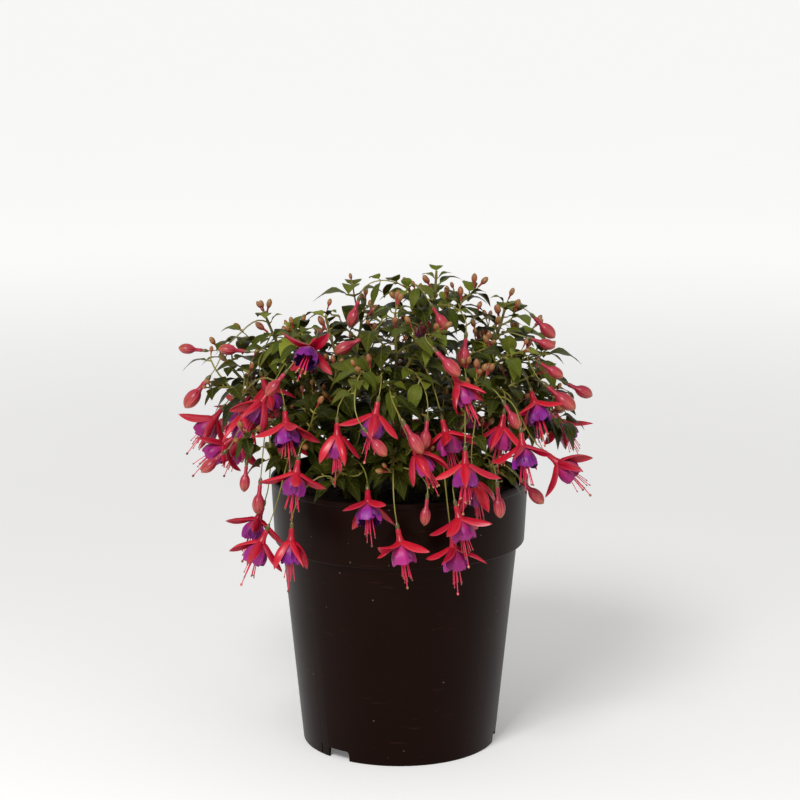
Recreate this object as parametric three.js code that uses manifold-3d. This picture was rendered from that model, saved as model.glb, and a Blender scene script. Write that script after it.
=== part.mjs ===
// A bushy fuchsia in flower, standing in a black nursery pot. Millimetres, +Z up, the front of the plant
// at -Y. The origin is the middle of the pot's foot. The plan of the plant (shoots, blooms, buds and leaves)
// is worked out first, as points and directions, and the solids are then made from the plan.
import * as THREE from "three";
import { mergeVertices } from "three/addons/utils/BufferGeometryUtils.js";
import Module from "manifold-3d";

const wasm = await Module();
wasm.setup();

// The seed of every random draw
const SEED = 14;
// Pot: the radii and heights of its moulded wall
const RIM_RADIUS = 95;
const POT_HEIGHT = 200;
const WALL = 2;
const FOOT_RADIUS = 72;
const BODY_TOP = { r: 87.1, z: 151.9 };
const COLLAR_FOOT = { r: 92, z: 152.5 };
const LIP_CHAMFER = { down: 1.2, in: 0.8 };
const LIP_THINNING = 0.2;
const MIDDLE_FOOT_RADIUS = 38;
const GUTTER_HEIGHT = 8;
const POT_SEGMENTS = 32;
// Drain slots cut up into the foot ring, and drain holes in the gutter floor
const SLOT_ANGLES = [-38, 81, 201];
const SLOT_WIDTH = 19;
const SLOT_HEIGHT = 7.5;
const DRAIN_HOLES = 4;
const DRAIN_RADIUS = 5;
const DRAIN_CIRCLE = 54;
const DRAIN_SIDES = 6;
// Potting soil
const SOIL_GAP = 0.4;
const SOIL_EDGE = 183;
const SOIL_SHOULDER = { r: 45, z: 185.6 };
const SOIL_TOP = 186.4;
const SOIL_SEGMENTS = 16;
// Each stem stands in a plain hole in the soil
const STEM_FOOT_Z = 161;
const STEM_HOLE = { radius: 3.7, sides: 5, below: 0.4, above: 4 };
// Shoots: a stem's curve starts at this height, and each curve is bent by these shares of its reach
const STEM_START_Z = 187;
const STEM_BEND = { low: [0.12, 0.42], high: [0.78, 0.66] };
const TWIG_BEND = { low: 0.33, high: 0.72, arch: 0.16, archHigh: 0.7 };
const STEM_RADIUS = { foot: 2.6, tip: 0.9 };
const TWIG_RADIUS = { foot: 1.5, tip: 0.8 };
const STEM_STEPS = 7;
const TWIG_STEPS = 4;
const SHOOT_BALLS = 40;
// Distance of each pair of leaves from its shoot's tip
const PAIR_DISTANCES = [6, 17, 31, 47, 66];
const TWIG_PAIRS = 4;
const BARE_FOOT = 14;
// Leaves: their length at the tip of a shoot and at the distance from it where they are full grown
const LEAF = { least: 9, most: 25, grown: 34, slimness: 0.54, rib: 1.1, fold: 0.2, root: 0.25 };
// Shares of a leaf's length at which its blade has corners; only a leaf that is long enough has the far ones
const LEAF_STATIONS = { near: 0.34, far: 0.68, only: 0.5, longEnough: 13 };
// The angle between a leaf and its shoot, in degrees, at the tip and where it is full, and its random part
const LEAF_SPREAD = { least: 46, most: 78, fullAt: 30, random: 12 };
const LEAF_DROOP = { least: 0.12, random: 0.3, perSwing: 0.003 };
// What a leaf tries, in degrees and as shares of its size, to keep clear
const LEAF_SWINGS = [0, 13, -13, 26, -26, 38, -38];
const LEAF_SHRINKS = [1, 0.8];
// Half the length of the short piece of shoot that a pair of leaves grows from
const NODE_HALF = 1.1;
// The least share of a shoot between a bare section and its first pair of leaves
const BARE_SHARE = 0.12;
// Blooms: lengths along a bloom from the end of its ovary
const OVARY = { length: 5.5, radius: 1.9 };
const TUBE = { top: 0.3, length: 9, radius: 3.3, neck: 1.7 };
const SEPAL = { length: 24, width: 7.8, ridge: 1.3, steps: 5 };
// The angles at which sepals leave the tube and end, in degrees
const SEPAL_LEAVE = { base: 41, perLift: 0.25 };
const SEPAL_END = { random: 26, least: 26 };
const COROLLA = { shoulder: 14.5, hem: 23, radius: 8.2, throat: 16.5, wave: 1.4, columns: 8 };
const HALF_OPEN = { lift: 45, bell: 0.74 };
const STYLE_REACH = 41;
const STAMEN_REACH = 33;
const STAMENS_SHOWN = 2;
const FILAMENT_RADIUS = 0.6;
// The throat's ring stands past the tube's mouth and inside it
const THROAT_DEPTH = 1;
const THROAT_INSET = 0.9;
const PETAL_GAP = 0.35;
const STALK_RADIUS = 0.8;
const STALK_STEPS = 3;
const STALK_BALLS = 14;
const STALK_SPAN = 26;
const STALK_TRIES = 40;
const STALK_ARCHES = [0.28, 0.5, 0.12];
const STALK_SWAYS = [0, 0.3, -0.3];
// What makes an axil less fit for a stalk: top above the axil, use by another, and nearness to the shoot's tip
const STALK_PRICE = { above: 1.3, used: 14, nearTip: 30 };
// Clear space kept between separate pieces
const CLEAR = 0.7;
const OWN_CLEAR = 0;

// Main shoots, left to right at the front and then the back: where each stands in the soil, its tip, and its
// side shoots as [share of the way up the stem, tip].
const STEMS = [
  {
    foot: [14, 2],
    tip: [27, 10, 350],
    twigs: [[0.62, [55, 36, 331]], [0.7, [3, -12, 343]], [0.4, [62, -16, 297]]],
  },
  {
    foot: [32, 4],
    tip: [78, 5, 327],
    twigs: [[0.5, [86, -44, 299]], [0.42, [106, 42, 283]], [0.3, [108, -14, 250]]],
  },
  {
    foot: [26, -22],
    tip: [54, -70, 283],
    twigs: [[0.5, [96, -28, 279]], [0.25, [76, -80, 216]], [0.3, [20, -84, 232]]],
  },
  {
    foot: [0, -26],
    tip: [-3, -46, 328],
    twigs: [[0.25, [-6, -94, 223]], [0.52, [-28, -80, 290]], [0.6, [24, -58, 314]]],
  },
  {
    foot: [-16, -6],
    tip: [-54, 4, 318],
    twigs: [[0.22, [-46, -96, 215]], [0.55, [-26, 46, 318]], [0.4, [-62, -44, 270]]],
  },
  {
    foot: [-34, 8],
    tip: [-98, 12, 316],
    twigs: [[0.35, [-70, -76, 238]], [0.5, [-84, 60, 288]], [0.6, [-76, -22, 308]]],
  },
  {
    foot: [-38, -16],
    tip: [-131, 0, 292],
    twigs: [[0.62, [-134, -40, 272]], [0.42, [-109, -70, 243]], [0.3, [-116, 28, 248]]],
  },
  {
    foot: [-24, 30],
    tip: [-60, 96, 284],
    twigs: [[0.45, [-114, 72, 246]], [0.35, [-26, 112, 238]], [0.3, [-82, 86, 226]]],
  },
  {
    foot: [6, 32],
    tip: [14, 84, 320],
    twigs: [[0.62, [-22, 84, 306]], [0.35, [44, 116, 246]], [0.5, [36, 52, 318]]],
  },
  {
    foot: [34, 28],
    tip: [68, 80, 298],
    twigs: [[0.5, [114, 66, 250]], [0.33, [122, 12, 238]], [0.6, [98, 44, 300]]],
  },
];

// Open blooms: where the tube starts, the way the bloom hangs, the angle from that way at which the sepals
// end, and the turn of the sepals, in degrees.
const BLOOMS = [
  { at: [39, -112, 203], hang: [0.25, -0.25, -1], lift: 92, spin: 20 },
  { at: [45, -104, 241], hang: [0, -0.3, -1], lift: 72, spin: 0 },
  { at: [-1, -114, 187], hang: [0.2, -0.25, -1], lift: 95, spin: 10 },
  { at: [-22, -104, 212], hang: [0.05, -0.6, -0.8], lift: 80, spin: 30 },
  { at: [-75, -100, 184], hang: [-0.05, -0.2, -1], lift: 34, spin: 45 },
  { at: [-97, -70, 192], hang: [-0.35, -0.2, -0.92], lift: 78, spin: 60 },
  { at: [-15, -98, 273], hang: [-0.2, -0.25, -1], lift: 60, spin: 40 },
  { at: [105, -70, 230], hang: [0.75, -0.2, -0.6], lift: 70, spin: 35 },
  { at: [-60, -52, 309], hang: [-0.25, -0.8, -0.5], lift: 95, spin: 45 },
  { at: [-83, -82, 186], hang: [-0.4, -0.15, -0.9], lift: 55, spin: 0 },
  { at: [31, -100, 186], hang: [0.15, -0.1, -1], lift: 85, spin: 70 },
  { at: [8, -99, 240], hang: [0.5, -0.2, -0.85], lift: 34, spin: 20 },
  { at: [30, -86, 257], hang: [0.25, -0.2, -1], lift: 82, spin: 5 },
  { at: [84, -97, 251], hang: [0.1, -0.35, -0.93], lift: 75, spin: 50 },
  { at: [73, -72, 254], hang: [-0.15, -0.2, -1], lift: 45, spin: 15 },
  { at: [94, -44, 270], hang: [0.25, -0.5, -0.8], lift: 60, spin: 25 },
  { at: [37, -78, 290], hang: [0.45, -0.3, -0.85], lift: 34, spin: 0 },
  { at: [52, -50, 268], hang: [0.1, -0.2, -1], lift: 60, spin: 30 },
  { at: [51, -86, 218], hang: [0.15, 0.15, -1], lift: 40, spin: 45 },
  { at: [-80, -76, 262], hang: [0.1, -0.45, -0.85], lift: 70, spin: 10 },
  { at: [-93, -58, 267], hang: [-0.5, -0.2, -0.8], lift: 34, spin: 40 },
  { at: [-112, -48, 266], hang: [-0.05, -0.1, -1], lift: 36, spin: 70 },
  { at: [-119, -38, 240], hang: [-0.75, -0.1, -0.6], lift: 80, spin: 50 },
  { at: [-43, -96, 258], hang: [0, -0.2, -1], lift: 38, spin: 25 },
  { at: [-70, -90, 233], hang: [-0.15, -0.2, -1], lift: 70, spin: 45 },
  { at: [-99, -16, 282], hang: [0.3, 0.1, -0.9], lift: 60, spin: 15 },
  { at: [20, 18, 322], hang: [-0.1, -0.4, -0.9], lift: 45, spin: 30 },
  { at: [118, 48, 236], hang: [0.5, 0.3, -0.85], lift: 70, spin: 50 },
  { at: [98, 88, 232], hang: [0.35, 0.4, -0.9], lift: 88, spin: 20 },
  { at: [44, 124, 212], hang: [0.1, 0.3, -1], lift: 92, spin: 5 },
  { at: [6, 118, 224], hang: [0, 0.3, -1], lift: 75, spin: 45 },
  { at: [12, 98, 282], hang: [0.1, 0.5, -0.8], lift: 85, spin: 25 },
  { at: [-52, 104, 254], hang: [-0.1, 0.5, -0.9], lift: 55, spin: 60 },
  { at: [-84, 98, 218], hang: [-0.4, 0.4, -0.9], lift: 90, spin: 35 },
  { at: [-118, 70, 216], hang: [-0.5, 0.3, -0.9], lift: 66, spin: 10 },
  { at: [-112, 36, 252], hang: [-0.6, 0.2, -0.8], lift: 78, spin: 55 },
  { at: [-132, 14, 246], hang: [-0.6, 0.1, -0.8], lift: 50, spin: 20 },
];
// The first blooms, which stand furthest forward, have their corolla as a piece of its own
const SEPARATE_COROLLAS = 8;

// Large closed buds on long stalks: where the tube starts, and the way the bud points
const BUDS = [
  { at: [-139, -36, 276], hang: [-0.6, -0.1, -0.75], size: 1.15 },
  { at: [-144, 0, 293], hang: [-1, 0, 0.1], size: 0.85 },
  { at: [99, 4, 316], hang: [0.7, 0, -0.7], size: 1 },
  { at: [95, -30, 306], hang: [0.9, 0, -0.3], size: 0.85 },
  { at: [101, -40, 290], hang: [0.8, 0, -0.5], size: 0.9 },
  { at: [106, -52, 274], hang: [0.75, -0.2, -0.6], size: 1.2 },
  { at: [19, -96, 258], hang: [-0.1, -0.2, -1], size: 0.95 },
  { at: [19, -104, 206], hang: [-0.1, -0.1, -1], size: 0.9 },
  { at: [68, -94, 212], hang: [0.1, -0.1, -1], size: 1.05 },
  { at: [87, -78, 212], hang: [0.7, -0.3, -0.7], size: 1 },
  { at: [-98, -78, 210], hang: [-0.1, -0.2, -1], size: 1 },
  { at: [-126, -58, 228], hang: [-0.7, -0.1, -0.6], size: 0.95 },
  { at: [-108, -70, 222], hang: [-0.1, -0.1, -1], size: 0.9 },
  { at: [4, -108, 254], hang: [0.5, -0.2, -0.8], size: 1.1 },
  { at: [-22, -108, 260], hang: [0.6, -0.2, -0.7], size: 1 },
  { at: [24, -40, 330], hang: [0.5, -0.1, -0.8], size: 0.9 },
  { at: [26, -80, 306], hang: [0.6, -0.2, -0.6], size: 1.1 },
  { at: [47, -40, 308], hang: [-0.1, 0, -1], size: 1 },
  { at: [-28, -44, 308], hang: [-0.8, -0.1, -0.4], size: 1 },
  { at: [-30, -8, 330], hang: [-0.3, -0.1, -0.9], size: 0.95 },
  { at: [-76, -60, 287], hang: [-0.6, -0.1, -0.7], size: 0.95 },
  { at: [-112, -22, 296], hang: [-0.9, 0, 0.1], size: 0.9 },
  { at: [74, -84, 272], hang: [0.5, -0.2, -0.8], size: 0.95 },
  { at: [126, 30, 262], hang: [0.8, 0.1, -0.4], size: 1 },
  { at: [84, 106, 246], hang: [0.3, 0.4, -0.9], size: 1 },
  { at: [28, 110, 270], hang: [0.1, 0.5, -0.9], size: 0.9 },
  { at: [-104, 88, 250], hang: [-0.5, 0.3, -0.8], size: 1 },
  { at: [-128, 46, 236], hang: [-0.6, 0.2, -0.8], size: 1 },
];
// Small buds in the upper leaf axils of every other shoot: their pair of leaves, their stalk and their size
const AXIL_BUD = { pair: 1, everyNth: 2, stalk: 7, size: 0.55 };
const BUD = { tube: 6.5, tubeRadius: 1.6, length: 14, radius: 4.9, widest: 0.42 };

const UP = new THREE.Vector3(0, 0, 1);
const vec = (p) => new THREE.Vector3(...p);
const radians = THREE.MathUtils.degToRad;

// A seeded random number from 0 to 1 (mulberry32)
function randomFrom(seed) {
  let state = seed >>> 0;
  return () => {
    state = (state + 0x6d2b79f5) >>> 0;
    let t = state;
    t = Math.imul(t ^ (t >>> 15), t | 1);
    t ^= t + Math.imul(t ^ (t >>> 7), t | 61);
    return ((t ^ (t >>> 14)) >>> 0) / 4294967296;
  };
}

// Points along a cubic curve
function cubic(a, b, c, d, steps) {
  return new THREE.CubicBezierCurve3(a, b, c, d).getPoints(steps);
}

// The point at a share of the length of a line through points, and the direction there
function along(points, share) {
  let rest = share * lengthOf(points);
  let i = 0;
  while (i < points.length - 2 && rest > points[i].distanceTo(points[i + 1])) {
    rest -= points[i].distanceTo(points[i + 1]);
    i += 1;
  }
  const heading = points[i + 1].clone().sub(points[i]).normalize();
  return { point: points[i].clone().addScaledVector(heading, rest), heading };
}

// A direction turned from the first of two square directions towards the second
const turned = (first, second, angle) =>
  first.clone().multiplyScalar(Math.cos(angle)).addScaledVector(second, Math.sin(angle));

function lengthOf(points) {
  let sum = 0;
  for (let i = 1; i < points.length; i++) sum += points[i].distanceTo(points[i - 1]);
  return sum;
}

// Two directions square to a heading: sideways and level, then upwards
function squareTo(heading) {
  const side = new THREE.Vector3().crossVectors(heading, UP);
  if (side.length() < 0.1) side.set(1, 0, 0);
  side.normalize();
  return { side, rise: new THREE.Vector3().crossVectors(side, heading).normalize() };
}

// The part of a direction that is square to a heading, made one long
const acrossOf = (direction, heading) =>
  direction.clone().addScaledVector(heading, -direction.dot(heading)).normalize();

function shootPlan(stemNumber, radius, points, pairs) {
  return { stemNumber, radius, points, length: lengthOf(points), pairs };
}

// Each stem rises from the soil and leans out, and its side shoots arch away from it
function planShoots() {
  const shoots = [];
  STEMS.forEach(({ foot, tip, twigs }, stemNumber) => {
    const start = new THREE.Vector3(foot[0], foot[1], STEM_START_Z);
    const reach = vec(tip).sub(start);
    const bent = ([out, up]) => start.clone().add(reach.clone().multiply(new THREE.Vector3(out, out, up)));
    const main = cubic(start, bent(STEM_BEND.low), bent(STEM_BEND.high), vec(tip), STEM_STEPS);
    shoots.push(shootPlan(stemNumber, STEM_RADIUS, main, PAIR_DISTANCES.length));
    for (const [share, end] of twigs) {
      const fork = along(main, share).point;
      const span = vec(end).sub(fork);
      const arch = new THREE.Vector3(0, 0, TWIG_BEND.arch * span.length());
      const twig = cubic(
        fork,
        fork.clone().addScaledVector(span, TWIG_BEND.low).add(arch),
        fork.clone().addScaledVector(span, TWIG_BEND.high).addScaledVector(arch, TWIG_BEND.archHigh),
        vec(end),
        TWIG_STEPS,
      );
      shoots.push(shootPlan(stemNumber, TWIG_RADIUS, twig, TWIG_PAIRS));
    }
  });
  return shoots;
}

// Every taken place as a ball: centre, radius and the number of the piece that it belongs to
const taken = [];
function take(balls, owner) {
  for (const { point, radius } of balls) taken.push({ point, radius, owner });
}

// The pot's wall and the soil as one test for a ball
function meetsPot({ point, radius }) {
  const out = Math.hypot(point.x, point.y);
  if (point.z - radius > POT_HEIGHT + CLEAR) return false;
  const slope = (RIM_RADIUS - COLLAR_FOOT.r) / (POT_HEIGHT - COLLAR_FOOT.z);
  const wall = COLLAR_FOOT.r + slope * (point.z - COLLAR_FOOT.z);
  const inside = wall - WALL - CLEAR;
  if (out + radius > inside && out - radius < wall + CLEAR) return true;
  return out < inside && point.z - radius < STEM_START_Z + CLEAR;
}

// True if balls of a piece keep clear of the pot and of every taken place apart from those it may touch
function isClear(balls, owner, mayTouch) {
  for (const ball of balls) {
    if (meetsPot(ball)) return false;
    for (const other of taken) {
      const gap = other.owner === owner ? OWN_CLEAR : CLEAR;
      const room = ball.radius + other.radius + gap;
      if (ball.point.distanceToSquared(other.point) < room * room && !mayTouch(other)) return false;
    }
  }
  return true;
}

const radiusAt = (radius, share) => radius.foot + (radius.tip - radius.foot) * share;

function shootBalls(shoot) {
  return Array.from({ length: SHOOT_BALLS + 1 }, (_, i) => ({
    point: along(shoot.points, i / SHOOT_BALLS).point,
    radius: radiusAt(shoot.radius, i / SHOOT_BALLS),
  }));
}

// Leaf axils of every shoot, from its tip down
function planAxils(shoots) {
  const axils = [];
  shoots.forEach((shoot, shootNumber) => {
    for (let pair = 0; pair < shoot.pairs; pair++) {
      const share = 1 - PAIR_DISTANCES[pair] / shoot.length;
      if (share * shoot.length < BARE_FOOT) break;
      const { point, heading } = along(shoot.points, share);
      axils.push({ shoot, shootNumber, pair, share, point, heading, used: 0 });
    }
  });
  return axils;
}

// A bloom's axes: the way it hangs, and two directions square to it
function hangFrame(hang, spin) {
  const down = vec(hang).normalize();
  const { side, rise } = squareTo(down);
  const turn = radians(spin);
  const first = turned(side, rise, turn);
  return { down, first, second: new THREE.Vector3().crossVectors(down, first) };
}

// The rib of one sepal as points: it leaves the mouth of the tube and turns out towards its end angle
function sepalRib(at, frame, quarter, leave, end, steps) {
  const turn = (quarter * Math.PI) / 2;
  const out = turned(frame.first, frame.second, turn);
  const point = at.clone().addScaledVector(frame.down, TUBE.length).addScaledVector(out, TUBE.radius * 0.8);
  const rib = [{ point: point.clone(), heading: null, out }];
  for (let i = 1; i <= steps; i++) {
    const angle = radians(leave + ((end - leave) * (i - 0.5)) / steps);
    const heading = turned(frame.down, out, angle);
    point.addScaledVector(heading, SEPAL.length / steps);
    rib.push({ point: point.clone(), heading, out });
  }
  rib[0].heading = rib[1].heading;
  return rib;
}

// The width of the bell of petals as a share of an open one's: less while the sepals still hang
const bellOf = (lift) => (lift < HALF_OPEN.lift ? HALF_OPEN.bell : 1);

// A bloom's sepals: each leaves and ends at its own angle
function sepalsOf(bloom, at, frame, steps) {
  return bloom.wobble.map((wobble, quarter) => {
    const leave = SEPAL_LEAVE.base + SEPAL_LEAVE.perLift * bloom.lift;
    const end = Math.max(bloom.lift + SEPAL_END.random * (wobble - 0.5), SEPAL_END.least);
    return sepalRib(at, frame, quarter, leave, end, steps);
  });
}

function bloomBalls(bloom, at, frame) {
  const balls = [];
  const bell = bellOf(bloom.lift);
  const spots = [[1.5, 2], [5, 2.6], [9, 3.6], [13, 5 * bell], [17, 8 * bell], [20.5, 8.6 * bell]];
  spots.push([27, 3.6], [32, 3.4], [38, 1.6], [STYLE_REACH, 1.2]);
  for (const [reach, radius] of spots) {
    balls.push({ point: at.clone().addScaledVector(frame.down, reach), radius });
  }
  for (const rib of sepalsOf(bloom, at, frame, 5)) {
    rib.slice(1).forEach(({ point }, i) => balls.push({ point, radius: [3.6, 3.8, 3.6, 3, 1.6][i] }));
  }
  return balls;
}

function budBalls(at, down, size) {
  const balls = [];
  const spots = [[1.5, 2], [4.5, 2], [BUD.tube + 4, 4], [BUD.tube + 8, 4.8], [BUD.tube + 12, 2.6]];
  for (const [reach, radius] of spots) {
    balls.push({ point: at.clone().addScaledVector(down, reach * size), radius: radius * size });
  }
  return balls;
}

// The stalk of a bloom or bud: out of an axil, over, and down into the ovary
function stalkPath(axil, top, down, arch, sway) {
  const span = top.distanceTo(axil.point);
  const out = top.clone().sub(axil.point).setZ(0);
  if (out.length() < 1) out.set(top.x, top.y, 0);
  out.normalize();
  const aside = new THREE.Vector3(-out.y, out.x, 0).multiplyScalar(sway * span);
  return cubic(
    axil.point.clone(),
    axil.point.clone().addScaledVector(out, 0.3 * span).addScaledVector(UP, arch * span).add(aside),
    top.clone().addScaledVector(down, -0.4 * span),
    top.clone(),
    STALK_STEPS,
  );
}

// The clear stalk that suits a hanging thing best, or null
function findStalk(thing, axils) {
  const top = thing.at.clone().addScaledVector(thing.frame.down, -OVARY.length * thing.size);
  const cost = (axil) =>
    Math.abs(axil.point.distanceTo(top) - STALK_SPAN) +
    STALK_PRICE.above * Math.max(0, top.z - axil.point.z + 4) +
    STALK_PRICE.used * axil.used +
    (axil.pair < 2 ? STALK_PRICE.nearTip : 0);
  const order = axils.map((axil) => ({ axil, price: cost(axil) }));
  order.sort((a, b) => a.price - b.price);
  for (const { axil } of order.slice(0, STALK_TRIES)) {
    const owner = "stem" + axil.shoot.stemNumber;
    const mayTouch = (other) =>
      other.owner === thing.label || (other.owner === owner && other.point.distanceTo(axil.point) < 7);
    for (const arch of STALK_ARCHES) {
      for (const sway of STALK_SWAYS) {
        const path = stalkPath(axil, top, thing.frame.down, arch, sway);
        const balls = Array.from({ length: STALK_BALLS }, (_, i) => ({
          point: along(path, (i + 1) / STALK_BALLS).point,
          radius: STALK_RADIUS,
        }));
        const ovary = thing.at.clone().addScaledVector(thing.frame.down, -2.5 * thing.size);
        balls.push({ point: ovary, radius: 2 });
        if (isClear(balls, owner, mayTouch)) return { axil, path, balls, owner };
      }
    }
  }
  return null;
}

// Places to try round the place in a list, the nearest first; to the front and back counts half
const TRIES = { across: [0, -5, 5, -10, 10], deep: [0, 6, -6, 12, -12, 18, -18, 24] };
const OFFSETS = TRIES.across.flatMap((x) => TRIES.across.flatMap((z) => TRIES.deep.map((y) => [x, y, z])));
const farness = ([x, y, z]) => Math.hypot(x, 0.5 * y, z) + (y > 0 ? 0.1 : 0);
OFFSETS.sort((a, b) => farness(a) - farness(b));

// Hangs each listed thing on a stalk at its place, or as near to it as it has room
function hangAll(list, kind, turns, ballsOf, axils) {
  const placed = [];
  list.forEach((item, number) => {
    const label = kind + number;
    for (const offset of OFFSETS) {
      for (const turn of turns) {
        const frame = hangFrame(item.hang, (item.spin ?? 0) + turn);
        const at = vec(item.at).add(vec(offset));
        const thing = { ...item, size: item.size ?? 1, number, label, at, frame };
        const balls = ballsOf(thing);
        if (!isClear(balls, label, () => false)) continue;
        const stalk = findStalk(thing, axils);
        if (!stalk) continue;
        take(balls, label);
        take(stalk.balls, stalk.owner);
        stalk.axil.used += 1;
        placed.push({ ...thing, stalk, stemNumber: stalk.axil.shoot.stemNumber });
        return;
      }
    }
    console.warn("no room for", label);
  });
  return placed;
}

// Small buds stand up from the upper axils
function planAxilBuds(axils, random) {
  const placed = [];
  for (const axil of axils) {
    const draw = [random(), random(), random()];
    if (axil.pair !== AXIL_BUD.pair || axil.shootNumber % AXIL_BUD.everyNth) continue;
    const { side, rise } = squareTo(axil.heading);
    const owner = "stem" + axil.shoot.stemNumber;
    for (let attempt = 0; attempt < 6; attempt++) {
      const turn = 2 * Math.PI * (draw[0] + attempt / 6);
      const out = turned(side, rise, turn);
      const lean = radians(24 + 30 * draw[1]);
      const heading = turned(axil.heading, out, lean);
      heading.addScaledVector(UP, 0.35).normalize();
      const top = axil.point.clone().addScaledVector(heading, AXIL_BUD.stalk);
      const size = AXIL_BUD.size * (0.88 + 0.24 * draw[2]);
      const balls = budBalls(top, heading, size);
      balls.push({ point: axil.point.clone().lerp(top, 0.6), radius: STALK_RADIUS });
      const mayTouch = (other) => other.owner === owner && other.point.distanceTo(axil.point) < 5;
      if (!isClear(balls, owner, mayTouch)) continue;
      take(balls, owner);
      placed.push({ axil, top, heading, size, stemNumber: axil.shoot.stemNumber });
      break;
    }
  }
  return placed;
}

// Half the width of a leaf at a share of its length, as a share of half its full width
const leafOutline = (share) => Math.sin(Math.PI * Math.pow(share, 0.78)) ** 0.8;

function leafPoint(leaf, share, across) {
  const half = (leaf.width / 2) * leafOutline(share) * across;
  return leaf.root
    .clone()
    .addScaledVector(leaf.heading, leaf.length * share)
    .addScaledVector(UP, -leaf.droop * leaf.length * share * share)
    .addScaledVector(leaf.across, half)
    .addScaledVector(leaf.face, LEAF.fold * Math.abs(half));
}

function leafBalls(leaf) {
  const balls = [];
  for (const share of [0.2, 0.38, 0.56, 0.74, 0.9]) {
    const half = (leaf.width / 2) * leafOutline(share);
    const columns = half > 2 ? [-0.55, 0, 0.55] : [0];
    for (const across of columns) {
      balls.push({ point: leafPoint(leaf, share, across), radius: 0.46 * half + 0.35 });
    }
  }
  balls.push({ point: leafPoint(leaf, 1, 0), radius: 0.4 });
  return balls;
}

// A leaf at an axil: its root, heading, the way its face looks, and its size
function leafAt(axil, turn, size, droop, draw) {
  const { side, rise } = squareTo(axil.heading);
  const out = turned(side, rise, turn);
  const distance = PAIR_DISTANCES[axil.pair];
  const { least, most, fullAt, random } = LEAF_SPREAD;
  const spread = radians(least + (most - least) * Math.min(distance / fullAt, 1) + random * (draw - 0.5));
  const heading = turned(axil.heading, out, spread);
  heading.z = 0.72 * heading.z + 0.04;
  heading.normalize();
  const face = UP.clone().addScaledVector(axil.heading, 0.5);
  face.addScaledVector(heading, -face.dot(heading)).normalize();
  const grown = Math.min(distance / LEAF.grown, 1);
  const length = (LEAF.least + (LEAF.most - LEAF.least) * Math.sqrt(grown)) * size;
  return {
    axil,
    stemNumber: axil.shoot.stemNumber,
    root: axil.point.clone(),
    heading,
    face,
    across: new THREE.Vector3().crossVectors(heading, face),
    length,
    width: length * LEAF.slimness,
    droop,
  };
}

// Pairs of leaves, each pair square to the next; a leaf turns, droops or stays smaller to keep clear
function planLeaves(axils, random) {
  const leaves = [];
  for (const axil of axils) {
    const pairTurn = (axil.pair * Math.PI) / 2 + axil.shootNumber * 0.7 + 0.5 * (random() - 0.5);
    const { side, rise } = squareTo(axil.heading);
    axil.out = turned(side, rise, pairTurn);
    for (let hand = 0; hand < 2; hand++) {
      const draw = [random(), random(), random()];
      const owner = "stem" + axil.shoot.stemNumber;
      const mayTouch = (other) => other.owner === owner && other.point.distanceTo(axil.point) < 6;
      let kept = null;
      for (const shrink of LEAF_SHRINKS) {
        for (const swing of LEAF_SWINGS) {
          const turn = pairTurn + hand * Math.PI + radians(swing);
          const swungDroop = LEAF_DROOP.perSwing * Math.abs(swing);
          const droop = LEAF_DROOP.least + LEAF_DROOP.random * draw[1] + swungDroop;
          const leaf = leafAt(axil, turn, shrink * (0.86 + 0.3 * draw[0]), droop, draw[2]);
          if (!isClear(leafBalls(leaf), owner, mayTouch)) continue;
          kept = leaf;
          break;
        }
        if (kept) break;
      }
      if (!kept) continue;
      take(leafBalls(kept), owner);
      leaves.push(kept);
    }
  }
  return leaves;
}

function planPlant() {
  const random = randomFrom(SEED);
  const shoots = planShoots();
  for (const shoot of shoots) take(shootBalls(shoot), "stem" + shoot.stemNumber);
  const axils = planAxils(shoots);
  const wobbly = BLOOMS.map((bloom) => ({ ...bloom, wobble: [random(), random(), random(), random()] }));
  const blooms = hangAll(wobbly, "bloom", [0, 30, 60], (b) => bloomBalls(b, b.at, b.frame), axils);
  const buds = hangAll(BUDS, "bud", [0], (b) => budBalls(b.at, b.frame.down, b.size), axils);
  const axilBuds = planAxilBuds(axils, random);
  const leaves = planLeaves(axils, random);
  return { shoots, axils, blooms, buds, axilBuds, leaves };
}

// Solids

// A closed three.js geometry as a solid
function solidOf(geometry) {
  const bare = geometry.index ? geometry.toNonIndexed() : geometry;
  bare.deleteAttribute("normal");
  bare.deleteAttribute("uv");
  const merged = mergeVertices(bare, 1e-4);
  return new wasm.Manifold(
    new wasm.Mesh({
      numProp: 3,
      vertProperties: merged.attributes.position.array,
      triVerts: new Uint32Array(merged.index.array),
    }),
  );
}

// A geometry from corner points and triangles of corner numbers
function faced(corners, faces) {
  const geometry = new THREE.BufferGeometry();
  const numbers = corners.flatMap((p) => p.toArray());
  geometry.setAttribute("position", new THREE.Float32BufferAttribute(numbers, 3));
  geometry.setIndex(faces.flat());
  return geometry;
}

// Triangles between two loops of corner numbers that may differ in length; a loop of one corner is a point
function bridge(low, high) {
  const faces = [];
  const lowSides = low.length > 1 ? low.length : 0;
  const highSides = high.length > 1 ? high.length : 0;
  let i = 0;
  let j = 0;
  while (i < lowSides || j < highSides) {
    const a = low[i % low.length];
    const b = high[j % high.length];
    if (i < lowSides && (j >= highSides || (i + 1) / lowSides <= (j + 1) / highSides)) {
      i += 1;
      faces.push([a, low[i % low.length], b]);
    } else {
      j += 1;
      faces.push([a, high[j % high.length], b]);
    }
  }
  return faces;
}

// A flat fan over a loop
const fan = (loop) => loop.slice(2).map((corner, k) => [loop[0], loop[k + 1], corner]);

const reversed = (faces) => faces.map((f) => [...f].reverse());

// A closed solid from corner points and triangles, turned to face outwards
function closedSolid(corners, faces) {
  const solid = solidOf(faced(corners, faces));
  return solid.volume() >= 0 ? solid : solidOf(faced(corners, reversed(faces)));
}

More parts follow.
